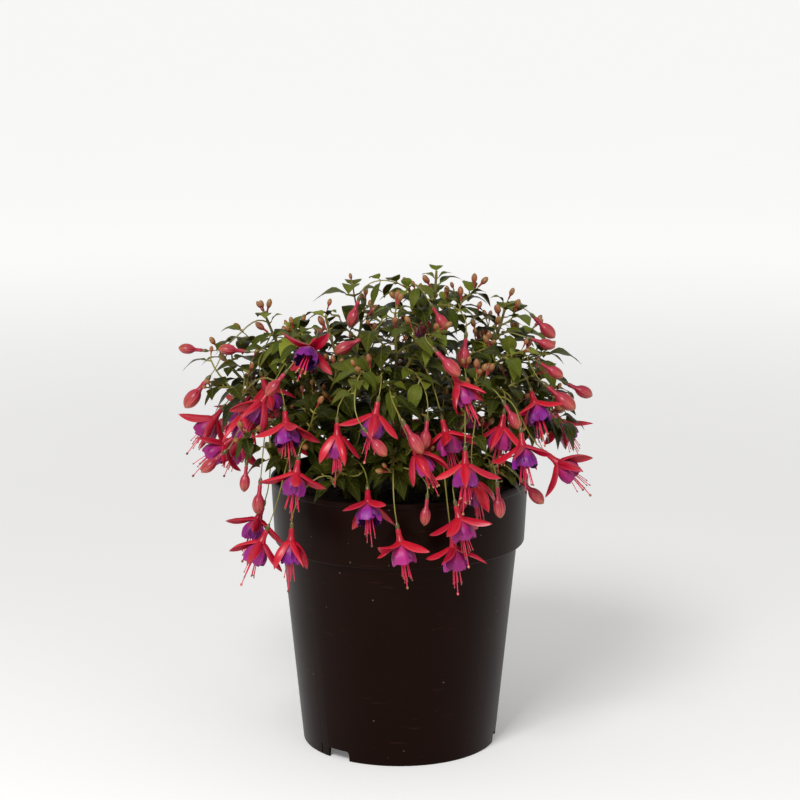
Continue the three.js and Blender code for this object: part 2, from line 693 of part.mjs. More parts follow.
// Adds points to the corners and gives their numbers
function addLoop(corners, points) {
  const start = corners.length;
  corners.push(...points);
  return points.map((_, k) => start + k);
}

// A closed solid through rings of points, each ring a list or a single end point
function ringed(rings) {
  const corners = [];
  const loops = rings.map((points) => addLoop(corners, points));
  const faces = reversed(fan(loops[0]));
  for (let i = 0; i + 1 < loops.length; i++) faces.push(...bridge(loops[i], loops[i + 1]));
  faces.push(...fan(loops[loops.length - 1]));
  return closedSolid(corners, faces);
}

function ring(centre, side, rise, radius, sides) {
  const points = [];
  for (let k = 0; k < sides; k++) {
    const angle = (2 * Math.PI * k) / sides;
    const out = turned(side, rise, angle);
    points.push(centre.clone().addScaledVector(out, radius));
  }
  return points;
}

const rotated = (loop, steps) => [...loop.slice(steps), ...loop.slice(0, steps)];

const perimeter = (corners, [a, b, c]) =>
  corners[a].distanceTo(corners[b]) + corners[b].distanceTo(corners[c]) + corners[c].distanceTo(corners[a]);

// The bridge between two loops that starts where its edges come out shortest
function shortBridge(corners, low, high) {
  let best = null;
  for (let i = 0; i < low.length; i++) {
    for (let j = 0; j < high.length; j++) {
      const faces = bridge(rotated(low, i), rotated(high, j));
      const long = faces.reduce((sum, face) => sum + perimeter(corners, face), 0);
      if (!best || long < best.long) best = { faces, long };
    }
  }
  return best.faces;
}

// A leaf grown from a patch of its shoot's skin: a blade with a keel below, which is deepest at the first
// station and runs out in the tip
function leafFaces(corners, patch, leaf) {
  const isLarge = leaf.length > LEAF_STATIONS.longEnough;
  const near = isLarge ? LEAF_STATIONS.near : LEAF_STATIONS.only;
  const [keel, right, left] = addLoop(corners, [
    leafPoint(leaf, near, 0).addScaledVector(leaf.face, -LEAF.rib),
    leafPoint(leaf, near, -1),
    leafPoint(leaf, near, 1),
  ]);
  const faces = shortBridge(corners, patch, [keel, right, left]);
  const [tip] = addLoop(corners, [leafPoint(leaf, 1, 0)]);
  if (isLarge) {
    const far = [-1, 1].map((side) => leafPoint(leaf, LEAF_STATIONS.far, side));
    const [farRight, farLeft] = addLoop(corners, far);
    faces.push([right, left, farLeft], [right, farLeft, farRight], [farRight, farLeft, tip]);
    faces.push([left, keel, farLeft], [farLeft, keel, tip], [tip, keel, farRight], [farRight, keel, right]);
  } else {
    faces.push([right, left, tip], [left, keel, tip], [keel, right, tip]);
  }
  return faces;
}

// The four corners of a shoot's section: the middle of the first side looks along out
function squareRing(centre, heading, out, radius) {
  const across = new THREE.Vector3().crossVectors(heading, out);
  return [0, 1, 2, 3].map((k) => {
    const turn = (k - 0.5) * (Math.PI / 2);
    const corner = turned(out, across, turn);
    return centre.clone().addScaledVector(corner, radius);
  });
}

// The sections of a shoot from its foot to its tip: bare ones low down, and two close together at each pair
// of leaves
function shootSections(shoot, pairs) {
  const sections = [];
  const foot = pairs.length ? pairs[0].share : 1;
  const bare = shoot.points.length - 1;
  for (let i = 0; i < bare; i++) {
    const share = i / bare;
    if (share > foot - BARE_SHARE) break;
    sections.push({ share, leaves: [], out: null });
  }
  for (const { share, out, leaves } of pairs) {
    const half = NODE_HALF / shoot.length;
    sections.push({ share: share - half, leaves, out }, { share: share + half, leaves: [], out });
  }
  return sections;
}

// A shoot and its leaves in one skin
function shootSolid(shoot, pairs) {
  const corners = [];
  const faces = [];
  let last = null;
  const start = along(shoot.points, 0);
  let out = squareTo(start.heading).side;
  if (shoot.radius === STEM_RADIUS) {
    const foot = new THREE.Vector3(start.point.x, start.point.y, STEM_FOOT_Z);
    const loop = addLoop(corners, squareRing(foot, UP, squareTo(UP).side, shoot.radius.foot));
    last = { loop, leaves: [], point: foot };
    faces.push(...reversed(fan(last.loop)));
  }
  for (const section of shootSections(shoot, pairs)) {
    const { point, heading } = along(shoot.points, section.share);
    out = acrossOf(section.out ?? out, heading);
    const points = squareRing(point, heading, out, radiusAt(shoot.radius, section.share));
    if (!last) {
      last = { loop: addLoop(corners, points), leaves: section.leaves, point };
      faces.push(...reversed(fan(last.loop)));
      continue;
    }
    // The corner that comes next after the last section's first corner comes first
    const near = (k) => points[k].clone().sub(point).dot(corners[last.loop[0]].clone().sub(last.point));
    const first = [0, 1, 2, 3].reduce((best, k) => (near(k) > near(best) ? k : best), 0);
    const loop = addLoop(corners, rotated(points, first));
    for (let k = 0; k < 4; k++) {
      const next = (k + 1) % 4;
      const patch = [last.loop[k], last.loop[next], loop[next], loop[k]];
      const facing = corners[loop[k]].clone().lerp(corners[loop[next]], 0.5).sub(point).normalize();
      const leaf = last.leaves.find((l) => acrossOf(l.heading, heading).dot(facing) > Math.SQRT1_2);
      if (leaf) faces.push(...leafFaces(corners, patch, leaf));
      else faces.push([patch[0], patch[1], patch[2]], [patch[0], patch[2], patch[3]]);
    }
    last = { loop, leaves: section.leaves, point };
  }
  const [tip] = addLoop(corners, [shoot.points[shoot.points.length - 1].clone()]);
  faces.push(...bridge(last.loop, [tip]));
  return closedSolid(corners, faces);
}

// The rings of a stalk along points, its section kept from twisting
function stalkRings(points, radiusOf, sides) {
  let { side } = squareTo(points[1].clone().sub(points[0]).normalize());
  return points.map((point, i) => {
    const before = points[Math.max(i - 1, 0)];
    const after = points[Math.min(i + 1, points.length - 1)];
    const heading = after.clone().sub(before).normalize();
    side = acrossOf(side, heading);
    const rise = new THREE.Vector3().crossVectors(heading, side);
    return ring(point, side, rise, radiusOf(i / (points.length - 1)), sides);
  });
}

// The rings of an ovary or bud that hangs along a direction, lined up with the last ring of its stalk
function hangingRings(at, down, size, spots, before, sides) {
  const centre = before.reduce((sum, p) => sum.add(p), new THREE.Vector3()).divideScalar(before.length);
  const side = acrossOf(before[0].clone().sub(centre), down);
  const rise = new THREE.Vector3().crossVectors(down, side);
  return spots.map(([reach, radius]) => {
    const place = at.clone().addScaledVector(down, reach * size);
    return radius === 0 ? [place] : ring(place, side, rise, radius * size, sides);
  });
}

const OVARY_SPOTS = [[-OVARY.length * 0.55, OVARY.radius], [0, OVARY.radius * 0.72]];
const BUD_SPOTS = [
  [BUD.tube * 0.2, BUD.tubeRadius],
  [BUD.tube + BUD.length * BUD.widest, BUD.radius],
  [BUD.tube + BUD.length, 0],
];

// A stalk that ends in a bloom's ovary, or in a closed bud
function hangingSolid(thing) {
  const path = thing.stalk.path.map((point) => point.clone());
  path[0].addScaledVector(path[1].clone().sub(path[0]).normalize(), LEAF.root);
  const stalk = stalkRings(path, () => STALK_RADIUS, 3);
  const isBloom = thing.label.startsWith("bloom");
  const spots = isBloom ? OVARY_SPOTS : BUD_SPOTS;
  const last = stalk[stalk.length - 1];
  return ringed([...stalk, ...hangingRings(thing.at, thing.frame.down, thing.size, spots, last, 4)]);
}

// A small bud on its stalk at a leaf's root
function axilBudSolid({ axil, top, heading, size }) {
  const start = axil.point.clone().addScaledVector(heading, LEAF.root);
  const stalk = stalkRings([start, top], () => STALK_RADIUS * 0.8, 3);
  return ringed([...stalk, ...hangingRings(top, heading, size, BUD_SPOTS.slice(1), stalk[1], 3)]);
}

// The corners of a bloom's tube or petals: a point at a reach down the bloom, a radius and a turn round it
function bloomPoint(bloom, reach, radius, turn) {
  const { at, frame } = bloom;
  const out = turned(frame.first, frame.second, turn);
  return at.clone().addScaledVector(frame.down, reach).addScaledVector(out, radius);
}

function bloomRing(bloom, reach, radius, sides) {
  return Array.from({ length: sides }, (_, k) =>
    bloomPoint(bloom, reach, radius, (2 * Math.PI * k) / sides - Math.PI / 4),
  );
}

// The bell's shoulder, its hem, which waves once for each petal, and the style that stands out of its throat
function bellRings(bloom) {
  const bell = bellOf(bloom.lift);
  const sides = COROLLA.columns;
  const hem = Array.from({ length: sides }, (_, k) => {
    const wave = k % 2 ? -1 : 1;
    const radius = bell * COROLLA.radius * (1 + 0.08 * wave);
    const turn = (2 * Math.PI * k) / sides - Math.PI / 4;
    return bloomPoint(bloom, COROLLA.hem + COROLLA.wave * wave, radius, turn);
  });
  return [
    bloomRing(bloom, COROLLA.shoulder, 0.78 * COROLLA.radius * bell, sides),
    hem,
    bloomRing(bloom, COROLLA.throat, FILAMENT_RADIUS, 3),
    [bloomPoint(bloom, STYLE_REACH, 0, 0)],
  ];
}

// The tube and four sepals of a bloom in one skin. Each side of the tube runs out into a sepal with a ridge
// along its back, and the throat is closed by a flat face or by the bell of petals.
function bloomSkin(bloom, withPetals) {
  const mouth = TUBE.length;
  const rings = [
    bloomRing(bloom, TUBE.top, TUBE.neck, 4),
    bloomRing(bloom, mouth, TUBE.radius, 4),
    bloomRing(bloom, mouth + THROAT_DEPTH, TUBE.radius - THROAT_INSET, 4),
  ];
  if (withPetals) rings.push(...bellRings(bloom));
  const corners = [];
  const loops = rings.map((points) => addLoop(corners, points));
  const [neck, outerMouth, innerMouth] = loops;
  const faces = [...reversed(fan(neck)), ...bridge(neck, outerMouth)];
  if (withPetals) {
    for (let i = 2; i + 1 < loops.length; i++) faces.push(...bridge(loops[i], loops[i + 1]));
  } else {
    faces.push(...fan(innerMouth));
  }
  const half = SEPAL.width / 2;
  const widest = Math.round(0.4 * SEPAL.steps);
  sepalsOf(bloom, bloom.at, bloom.frame, SEPAL.steps).forEach((rib, quarter) => {
    const next = (quarter + 1) % 4;
    const outer = [outerMouth[quarter], outerMouth[next]];
    const inner = [innerMouth[quarter], innerMouth[next]];
    const across = new THREE.Vector3().crossVectors(bloom.frame.down, rib[0].out).normalize();
    const middle = rib[widest];
    const back = new THREE.Vector3().crossVectors(across, middle.heading).normalize();
    const [left, ridge, right, tip] = addLoop(corners, [
      middle.point.clone().addScaledVector(across, -half),
      middle.point.clone().addScaledVector(back, SEPAL.ridge),
      middle.point.clone().addScaledVector(across, half),
      rib[SEPAL.steps].point,
    ]);
    faces.push([outer[0], ridge, left], [outer[0], outer[1], ridge], [outer[1], right, ridge]);
    faces.push([outer[1], inner[1], right], [inner[0], outer[0], left]);
    faces.push([inner[1], left, right], [inner[1], inner[0], left]);
    faces.push([left, ridge, tip], [ridge, right, tip], [right, left, tip]);
  });
  return closedSolid(corners, faces);
}

// Some of the stamens, which stand out of the bell's mouth
function stamenSolids(bloom) {
  const count = bloom.number < SEPARATE_COROLLAS ? STAMENS_SHOWN : 1;
  return Array.from({ length: count }, (_, k) => {
    const turn = (2 * Math.PI * (k + 0.5)) / count - Math.PI / 8;
    const base = bloomPoint(bloom, COROLLA.throat - 1, 2.2, turn);
    return ringed(stalkRings([base, bloomPoint(bloom, STAMEN_REACH, 3.4, turn)], () => FILAMENT_RADIUS, 3));
  });
}

function corollaSolid(bloom, top) {
  const bell = ringed([[bloomPoint(bloom, top, 0, 0)], ...bellRings(bloom)]);
  return wasm.Manifold.union([bell, ...stamenSolids(bloom)]);
}

// Pot

function lathed(profile, segments) {
  const geometry = new THREE.LatheGeometry(profile.map(([r, z]) => new THREE.Vector2(r, z)), segments);
  geometry.rotateX(Math.PI / 2);
  return solidOf(geometry);
}

// The radius of the pot's inner wall at the corners of its profile
const INNER = {
  lip: RIM_RADIUS - WALL - LIP_THINNING,
  collar: COLLAR_FOOT.r - WALL,
  bodyTop: BODY_TOP.r - WALL,
  floor: FOOT_RADIUS - WALL + 1,
  middle: MIDDLE_FOOT_RADIUS - 1.5,
};
const COLLAR_INSIDE_Z = COLLAR_FOOT.z + WALL;
const BODY_INSIDE_Z = BODY_TOP.z + WALL;
const FLOOR_Z = GUTTER_HEIGHT + WALL;

function potSolid() {
  const profile = [
    [0, 0],
    [MIDDLE_FOOT_RADIUS, 0],
    [MIDDLE_FOOT_RADIUS + 1, GUTTER_HEIGHT],
    [FOOT_RADIUS - WALL - 0.4, GUTTER_HEIGHT],
    [FOOT_RADIUS - WALL, 0],
    [FOOT_RADIUS, 0],
    [BODY_TOP.r, BODY_TOP.z],
    [COLLAR_FOOT.r, COLLAR_FOOT.z],
    [RIM_RADIUS, POT_HEIGHT - LIP_CHAMFER.down],
    [RIM_RADIUS - LIP_CHAMFER.in, POT_HEIGHT],
    [INNER.lip, POT_HEIGHT],
    [INNER.collar, COLLAR_INSIDE_Z],
    [INNER.bodyTop, BODY_INSIDE_Z],
    [INNER.floor, FLOOR_Z],
    [INNER.middle, FLOOR_Z],
    [INNER.middle, WALL],
    [0, WALL],
  ];
  let pot = lathed(profile, POT_SEGMENTS);
  for (const angle of SLOT_ANGLES) {
    const slot = new THREE.BoxGeometry(SLOT_WIDTH, 3 * WALL + 4, 2 * SLOT_HEIGHT);
    slot.translate(0, -FOOT_RADIUS, 0);
    slot.rotateZ(radians(angle));
    pot = pot.subtract(solidOf(slot));
  }
  for (let k = 0; k < DRAIN_HOLES; k++) {
    const hole = new THREE.CylinderGeometry(DRAIN_RADIUS, DRAIN_RADIUS, 3 * WALL, DRAIN_SIDES);
    hole.rotateX(Math.PI / 2);
    hole.translate(DRAIN_CIRCLE, 0, GUTTER_HEIGHT + WALL / 2);
    hole.rotateZ((2 * Math.PI * (k + 0.5)) / DRAIN_HOLES);
    pot = pot.subtract(solidOf(hole));
  }
  return pot;
}

// Soil fills the pot to under its rim, with a plain hole for each stem
function soilSolid() {
  const rise = (SOIL_EDGE - COLLAR_INSIDE_Z) / (POT_HEIGHT - COLLAR_INSIDE_Z);
  const edge = INNER.collar + (INNER.lip - INNER.collar) * rise;
  const profile = [
    [0, WALL + SOIL_GAP],
    [INNER.middle - SOIL_GAP, WALL + SOIL_GAP],
    [INNER.middle - SOIL_GAP, FLOOR_Z + SOIL_GAP],
    [INNER.floor - SOIL_GAP, FLOOR_Z + SOIL_GAP],
    [INNER.bodyTop - SOIL_GAP, BODY_INSIDE_Z],
    [INNER.collar - SOIL_GAP, COLLAR_INSIDE_Z],
    [edge - SOIL_GAP, SOIL_EDGE],
    [SOIL_SHOULDER.r, SOIL_SHOULDER.z],
    [0, SOIL_TOP],
  ];
  let soil = lathed(profile, SOIL_SEGMENTS);
  const bottom = STEM_FOOT_Z - STEM_HOLE.below;
  const depth = STEM_START_Z + STEM_HOLE.above - bottom;
  for (const { foot } of STEMS) {
    const hole = new THREE.CylinderGeometry(STEM_HOLE.radius, STEM_HOLE.radius, depth, STEM_HOLE.sides);
    hole.rotateX(Math.PI / 2);
    hole.translate(foot[0], foot[1], bottom + depth / 2);
    soil = soil.subtract(solidOf(hole));
  }
  return soil;
}

// Scene

const MATERIALS = {
  pot: new THREE.MeshStandardMaterial({ color: 0x231c1a, roughness: 0.55, metalness: 0 }),
  soil: new THREE.MeshStandardMaterial({ color: 0x2a1d14, roughness: 1, metalness: 0 }),
  foliage: new THREE.MeshStandardMaterial({ color: 0x3c5a2a, roughness: 0.6, metalness: 0 }),
  sepal: new THREE.MeshStandardMaterial({ color: 0xd8243a, roughness: 0.5, metalness: 0 }),
  corolla: new THREE.MeshStandardMaterial({ color: 0x8a2a9a, roughness: 0.5, metalness: 0 }),
};

function meshOf(name, solid, material) {
  const made = solid.getMesh();
  const corners = new Float32Array(made.numVert * 3);
  for (let i = 0; i < made.numVert; i++) {
    corners.set(made.vertProperties.subarray(i * made.numProp, i * made.numProp + 3), i * 3);
  }
  const geometry = new THREE.BufferGeometry();
  geometry.setAttribute("position", new THREE.BufferAttribute(corners, 3));
  geometry.setIndex(new THREE.BufferAttribute(new Uint32Array(made.triVerts), 1));
  const mesh = new THREE.Mesh(geometry, material);
  mesh.name = name;
  return mesh;
}

const twoDigits = (n) => String(n).padStart(2, "0");

// A shoot's pairs of leaves from its foot up
function pairsOf(plan, shoot) {
  const pairs = plan.axils.filter((axil) => axil.shoot === shoot).reverse();
  return pairs
    .map(({ share, out, pair }) => ({
      share,
      out,
      leaves: plan.leaves.filter(({ axil }) => axil.shoot === shoot && axil.pair === pair),
    }))
    .filter(({ leaves }) => leaves.length);
}

function leafyStemSolid(plan, stemNumber) {
  const own = (list) => list.filter((x) => x.stemNumber === stemNumber);
  return wasm.Manifold.union([
    ...own(plan.shoots).map((shoot) => shootSolid(shoot, pairsOf(plan, shoot))),
    ...own(plan.blooms).map(hangingSolid),
    ...own(plan.buds).map(hangingSolid),
    ...own(plan.axilBuds).map(axilBudSolid),
  ]);
}

function buildPlant(group) {
  const plan = planPlant();
  group.add(meshOf("pot", potSolid(), MATERIALS.pot));
  group.add(meshOf("potting_soil", soilSolid(), MATERIALS.soil));
  STEMS.forEach((_, n) => {
    group.add(meshOf("leafy_stem_" + twoDigits(n + 1), leafyStemSolid(plan, n), MATERIALS.foliage));
  });
  for (const bloom of plan.blooms) {
    const number = twoDigits(bloom.number + 1);
    if (bloom.number < SEPARATE_COROLLAS) {
      const top = TUBE.length + THROAT_DEPTH + PETAL_GAP;
      group.add(meshOf("bloom_" + number, bloomSkin(bloom, false), MATERIALS.sepal));
      group.add(meshOf("corolla_" + number, corollaSolid(bloom, top), MATERIALS.corolla));
    } else {
      const solid = wasm.Manifold.union([bloomSkin(bloom, true), ...stamenSolids(bloom)]);
      group.add(meshOf("bloom_" + number, solid, MATERIALS.sepal));
    }
  }
}

const fuchsia = new THREE.Group();
buildPlant(fuchsia);

export default fuchsia;
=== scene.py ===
"""A bushy fuchsia in flower in a black nursery pot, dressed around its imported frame.

The plan of the plant (shoots, flowers, buds and leaves) follows the same rules and the same random draws
as the solids, in millimetres, so every fine piece lies on its solid. Meshes are scaled to metres at the end.
"""

import logging
import math
from collections.abc import Callable, Iterable
from dataclasses import dataclass, field
from enum import Enum, IntEnum
from functools import cached_property

import bmesh
import bpy
import numpy as np
from mathutils import Matrix, Vector, noise


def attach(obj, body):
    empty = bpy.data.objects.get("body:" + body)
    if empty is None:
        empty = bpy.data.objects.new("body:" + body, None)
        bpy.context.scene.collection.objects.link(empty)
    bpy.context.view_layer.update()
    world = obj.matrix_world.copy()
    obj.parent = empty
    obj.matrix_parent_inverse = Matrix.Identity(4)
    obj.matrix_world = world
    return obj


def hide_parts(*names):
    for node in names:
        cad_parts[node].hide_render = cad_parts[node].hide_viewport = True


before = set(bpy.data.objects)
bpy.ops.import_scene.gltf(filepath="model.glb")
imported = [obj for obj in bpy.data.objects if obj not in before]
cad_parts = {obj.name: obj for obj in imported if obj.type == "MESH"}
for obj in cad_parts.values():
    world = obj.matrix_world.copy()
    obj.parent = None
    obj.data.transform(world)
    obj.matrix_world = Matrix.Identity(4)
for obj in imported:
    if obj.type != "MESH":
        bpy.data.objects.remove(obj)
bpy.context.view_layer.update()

log = logging.getLogger("fuchsia")
Array = np.ndarray
Triple = tuple[float, float, float]
Balls = list[tuple[Array, float]]
Profile = list[tuple[float, float]]
Draw = Callable[[], float]
Surface = Callable[[Array, Array], tuple[Array, Array]]
Rows = dict[str, tuple[str, dict]]

MM = 0.001
UP = np.array((0.0, 0.0, 1.0))
SEED = 14

# Stems: foot in the soil, tip, and side shoots as (share of the way up, tip)
STEMS: tuple[tuple[Triple, Triple, tuple[tuple[float, Triple], ...]], ...] = (
    ((14, 2), (27, 10, 350), ((0.62, (55, 36, 331)), (0.7, (3, -12, 343)), (0.4, (62, -16, 297)))),
    ((32, 4), (78, 5, 327), ((0.5, (86, -44, 299)), (0.42, (106, 42, 283)), (0.3, (108, -14, 250)))),
    ((26, -22), (54, -70, 283), ((0.5, (96, -28, 279)), (0.25, (76, -80, 216)), (0.3, (20, -84, 232)))),
    ((0, -26), (-3, -46, 328), ((0.25, (-6, -94, 223)), (0.52, (-28, -80, 290)), (0.6, (24, -58, 314)))),
    ((-16, -6), (-54, 4, 318), ((0.22, (-46, -96, 215)), (0.55, (-26, 46, 318)), (0.4, (-62, -44, 270)))),
    ((-34, 8), (-98, 12, 316), ((0.35, (-70, -76, 238)), (0.5, (-84, 60, 288)), (0.6, (-76, -22, 308)))),
    ((-38, -16), (-131, 0, 292),
     ((0.62, (-134, -40, 272)), (0.42, (-109, -70, 243)), (0.3, (-116, 28, 248)))),
    ((-24, 30), (-60, 96, 284), ((0.45, (-114, 72, 246)), (0.35, (-26, 112, 238)), (0.3, (-82, 86, 226)))),
    ((6, 32), (14, 84, 320), ((0.62, (-22, 84, 306)), (0.35, (44, 116, 246)), (0.5, (36, 52, 318)))),
    ((34, 28), (68, 80, 298), ((0.5, (114, 66, 250)), (0.33, (122, 12, 238)), (0.6, (98, 44, 300)))),
)
# Open flowers: where the tube starts, the way it hangs, the angle at which the sepals end, and their turn
BLOOMS = (
    ((39, -112, 203), (0.25, -0.25, -1), 92, 20),
    ((45, -104, 241), (0, -0.3, -1), 72, 0),
    ((-1, -114, 187), (0.2, -0.25, -1), 95, 10),
    ((-22, -104, 212), (0.05, -0.6, -0.8), 80, 30),
    ((-75, -100, 184), (-0.05, -0.2, -1), 34, 45),
    ((-97, -70, 192), (-0.35, -0.2, -0.92), 78, 60),
    ((-15, -98, 273), (-0.2, -0.25, -1), 60, 40),
    ((105, -70, 230), (0.75, -0.2, -0.6), 70, 35),
    ((-60, -52, 309), (-0.25, -0.8, -0.5), 95, 45),
    ((-83, -82, 186), (-0.4, -0.15, -0.9), 55, 0),
    ((31, -100, 186), (0.15, -0.1, -1), 85, 70),
    ((8, -99, 240), (0.5, -0.2, -0.85), 34, 20),
    ((30, -86, 257), (0.25, -0.2, -1), 82, 5),
    ((84, -97, 251), (0.1, -0.35, -0.93), 75, 50),
    ((73, -72, 254), (-0.15, -0.2, -1), 45, 15),
    ((94, -44, 270), (0.25, -0.5, -0.8), 60, 25),
    ((37, -78, 290), (0.45, -0.3, -0.85), 34, 0),
    ((52, -50, 268), (0.1, -0.2, -1), 60, 30),
    ((51, -86, 218), (0.15, 0.15, -1), 40, 45),
    ((-80, -76, 262), (0.1, -0.45, -0.85), 70, 10),
    ((-93, -58, 267), (-0.5, -0.2, -0.8), 34, 40),
    ((-112, -48, 266), (-0.05, -0.1, -1), 36, 70),
    ((-119, -38, 240), (-0.75, -0.1, -0.6), 80, 50),
    ((-43, -96, 258), (0, -0.2, -1), 38, 25),
    ((-70, -90, 233), (-0.15, -0.2, -1), 70, 45),
    ((-99, -16, 282), (0.3, 0.1, -0.9), 60, 15),
    ((20, 18, 322), (-0.1, -0.4, -0.9), 45, 30),
    ((118, 48, 236), (0.5, 0.3, -0.85), 70, 50),
    ((98, 88, 232), (0.35, 0.4, -0.9), 88, 20),
    ((44, 124, 212), (0.1, 0.3, -1), 92, 5),
    ((6, 118, 224), (0, 0.3, -1), 75, 45),
    ((12, 98, 282), (0.1, 0.5, -0.8), 85, 25),
    ((-52, 104, 254), (-0.1, 0.5, -0.9), 55, 60),
    ((-84, 98, 218), (-0.4, 0.4, -0.9), 90, 35),
    ((-118, 70, 216), (-0.5, 0.3, -0.9), 66, 10),
    ((-112, 36, 252), (-0.6, 0.2, -0.8), 78, 55),
    ((-132, 14, 246), (-0.6, 0.1, -0.8), 50, 20),
)
# Large closed buds: where the tube starts, the way the bud points, and its size
BUDS = (
    ((-139, -36, 276), (-0.6, -0.1, -0.75), 1.15),
    ((-144, 0, 293), (-1, 0, 0.1), 0.85),
    ((99, 4, 316), (0.7, 0, -0.7), 1),
    ((95, -30, 306), (0.9, 0, -0.3), 0.85),
    ((101, -40, 290), (0.8, 0, -0.5), 0.9),
    ((106, -52, 274), (0.75, -0.2, -0.6), 1.2),
    ((19, -96, 258), (-0.1, -0.2, -1), 0.95),
    ((19, -104, 206), (-0.1, -0.1, -1), 0.9),
    ((68, -94, 212), (0.1, -0.1, -1), 1.05),
    ((87, -78, 212), (0.7, -0.3, -0.7), 1),
    ((-98, -78, 210), (-0.1, -0.2, -1), 1),
    ((-126, -58, 228), (-0.7, -0.1, -0.6), 0.95),
    ((-108, -70, 222), (-0.1, -0.1, -1), 0.9),
    ((4, -108, 254), (0.5, -0.2, -0.8), 1.1),
    ((-22, -108, 260), (0.6, -0.2, -0.7), 1),
    ((24, -40, 330), (0.5, -0.1, -0.8), 0.9),
    ((26, -80, 306), (0.6, -0.2, -0.6), 1.1),
    ((47, -40, 308), (-0.1, 0, -1), 1),
    ((-28, -44, 308), (-0.8, -0.1, -0.4), 1),
    ((-30, -8, 330), (-0.3, -0.1, -0.9), 0.95),
    ((-76, -60, 287), (-0.6, -0.1, -0.7), 0.95),
    ((-112, -22, 296), (-0.9, 0, 0.1), 0.9),
    ((74, -84, 272), (0.5, -0.2, -0.8), 0.95),
    ((126, 30, 262), (0.8, 0.1, -0.4), 1),
    ((84, 106, 246), (0.3, 0.4, -0.9), 1),
    ((28, 110, 270), (0.1, 0.5, -0.9), 0.9),
    ((-104, 88, 250), (-0.5, 0.3, -0.8), 1),
    ((-128, 46, 236), (-0.6, 0.2, -0.8), 1),
)
# How far each flower's petals have aged, from violet at 0 to magenta at 1
PETAL_AGES = (
    0.72, 0.3, 0.85, 0.2, 0.15, 0.3, 0.1, 0.95, 0.05, 0.55, 0.65, 0.8, 0.85, 0.1, 0.9, 0.1, 0.8, 0.9, 0.7,
    0.15, 0.45, 0.6, 0.75, 0.6, 0.3, 0.4, 0.5, 0.2, 0.8, 0.35, 0.6, 0.1, 0.9, 0.45, 0.7, 0.25, 0.85,
)


@dataclass(frozen=True)
class Taper:
    """A radius that changes evenly along a shoot."""

    foot: float
    tip: float

    def at(self, share: float) -> float:
        """The radius at a share of the shoot's length."""
        return self.foot + (self.tip - self.foot) * share


@dataclass(frozen=True)
class PotSizes:
    """The moulded pot, in millimetres."""

    rim_radius: float = 95
    height: float = 200
    wall: float = 2
    foot_radius: float = 72
    body_top: tuple[float, float] = (87.1, 151.9)
    collar_foot: tuple[float, float] = (92, 152.5)
    middle_foot_radius: float = 38
    gutter: float = 8
    slot_angles: tuple[float, ...] = (-38, 81, 201)
    slot_width: float = 19
    slot_height: float = 7.5
    drain_radius: float = 5
    drain_circle: float = 54
    drain_holes: int = 4


@dataclass(frozen=True)
class ShootSizes:
    """How shoots grow: their radii, bends and the distances of their pairs of leaves from the tip."""

    stem: Taper = Taper(2.6, 0.9)
    twig: Taper = Taper(1.5, 0.8)
    twiglet: Taper = Taper(0.8, 0.55)
    stem_steps: int = 7
    twig_steps: int = 4
    start_z: float = 187
    stem_bend: tuple[tuple[float, float], tuple[float, float]] = ((0.12, 0.42), (0.78, 0.66))
    twig_low: float = 0.33
    twig_high: float = 0.72
    twig_arch: float = 0.16
    twig_arch_high: float = 0.7
    balls: int = 40
    pair_distances: tuple[float, ...] = (6, 17, 31, 47, 66)
    pair_turn: float = 0.7
    small_distances: tuple[float, ...] = (1.5, 4.5, 11, 24, 39, 56, 66, 76, 88, 101, 115)
    twiglet_distances: tuple[float, ...] = (1.2, 7, 15, 24)
    tip: float = 10
    twig_pairs: int = 4
    bare_foot: float = 14


@dataclass(frozen=True)
class LeafSizes:
    """Leaves: their lengths, the way they spread and droop, and what they try to keep clear."""

    least: float = 9
    most: float = 25
    grown: float = 34
    slimness: float = 0.54
    fold: float = 0.2
    stalk: float = 0.15
    arch: float = 0.075
    tip_droop: float = 0.09
    wave: float = 0.035
    sway: float = 0.05
    spread_least: float = 46
    spread_most: float = 78
    spread_full_at: float = 30
    spread_random: float = 12
    droop_least: float = 0.12
    droop_random: float = 0.3
    droop_per_swing: float = 0.003
    swings: tuple[float, ...] = (0, 13, -13, 26, -26, 38, -38)
    shrinks: tuple[float, ...] = (1, 0.8)
    touch: float = 6


@dataclass(frozen=True)
class FlowerSizes:
    """Flowers and buds: lengths run along a flower from the end of its ovary."""

    ovary_length: float = 5.5
    ovary_radius: float = 1.9
    tube_length: float = 9
    tube_radius: float = 3.3
    tube_neck: float = 1.7
    sepal_length: float = 24
    sepal_width: float = 7.8
    sepal_ridge: float = 1.3
    shoulder: float = 14.5
    hem: float = 23
    bell_radius: float = 8.2
    hem_wave: float = 1.4
    half_open_lift: float = 45
    half_open_bell: float = 0.74
    leave_base: float = 41
    leave_per_lift: float = 0.25
    end_random: float = 26
    end_least: float = 26
    style_reach: float = 41
    stamen_reach: float = 33
    stalk_radius: float = 0.8
    stalk_steps: int = 3
    stalk_balls: int = 14
    stalk_span: float = 26
    stalk_tries: int = 40
    stalk_arches: tuple[float, ...] = (0.28, 0.5, 0.12)
    stalk_sways: tuple[float, ...] = (0, 0.3, -0.3)
    bud_tube: float = 6.5
    bud_length: float = 14
    bud_radius: float = 4.9


# Places round a listed one, the nearest first, for a flower or bud that has no room at its own
OFFSETS = [
    np.array((x, y, z), float)
    for x in (0, -5, 5, -10, 10)
    for z in (0, -5, 5, -10, 10)
    for y in (0, 6, -6, 12, -12, 18, -18, 24)
]
OFFSETS.sort(key=lambda p: math.hypot(p[0], 0.5 * p[1], p[2]) + (0.1 if p[1] > 0 else 0))
POT = PotSizes()
SHOOT = ShootSizes()
LEAF = LeafSizes()
FLOWER = FlowerSizes()
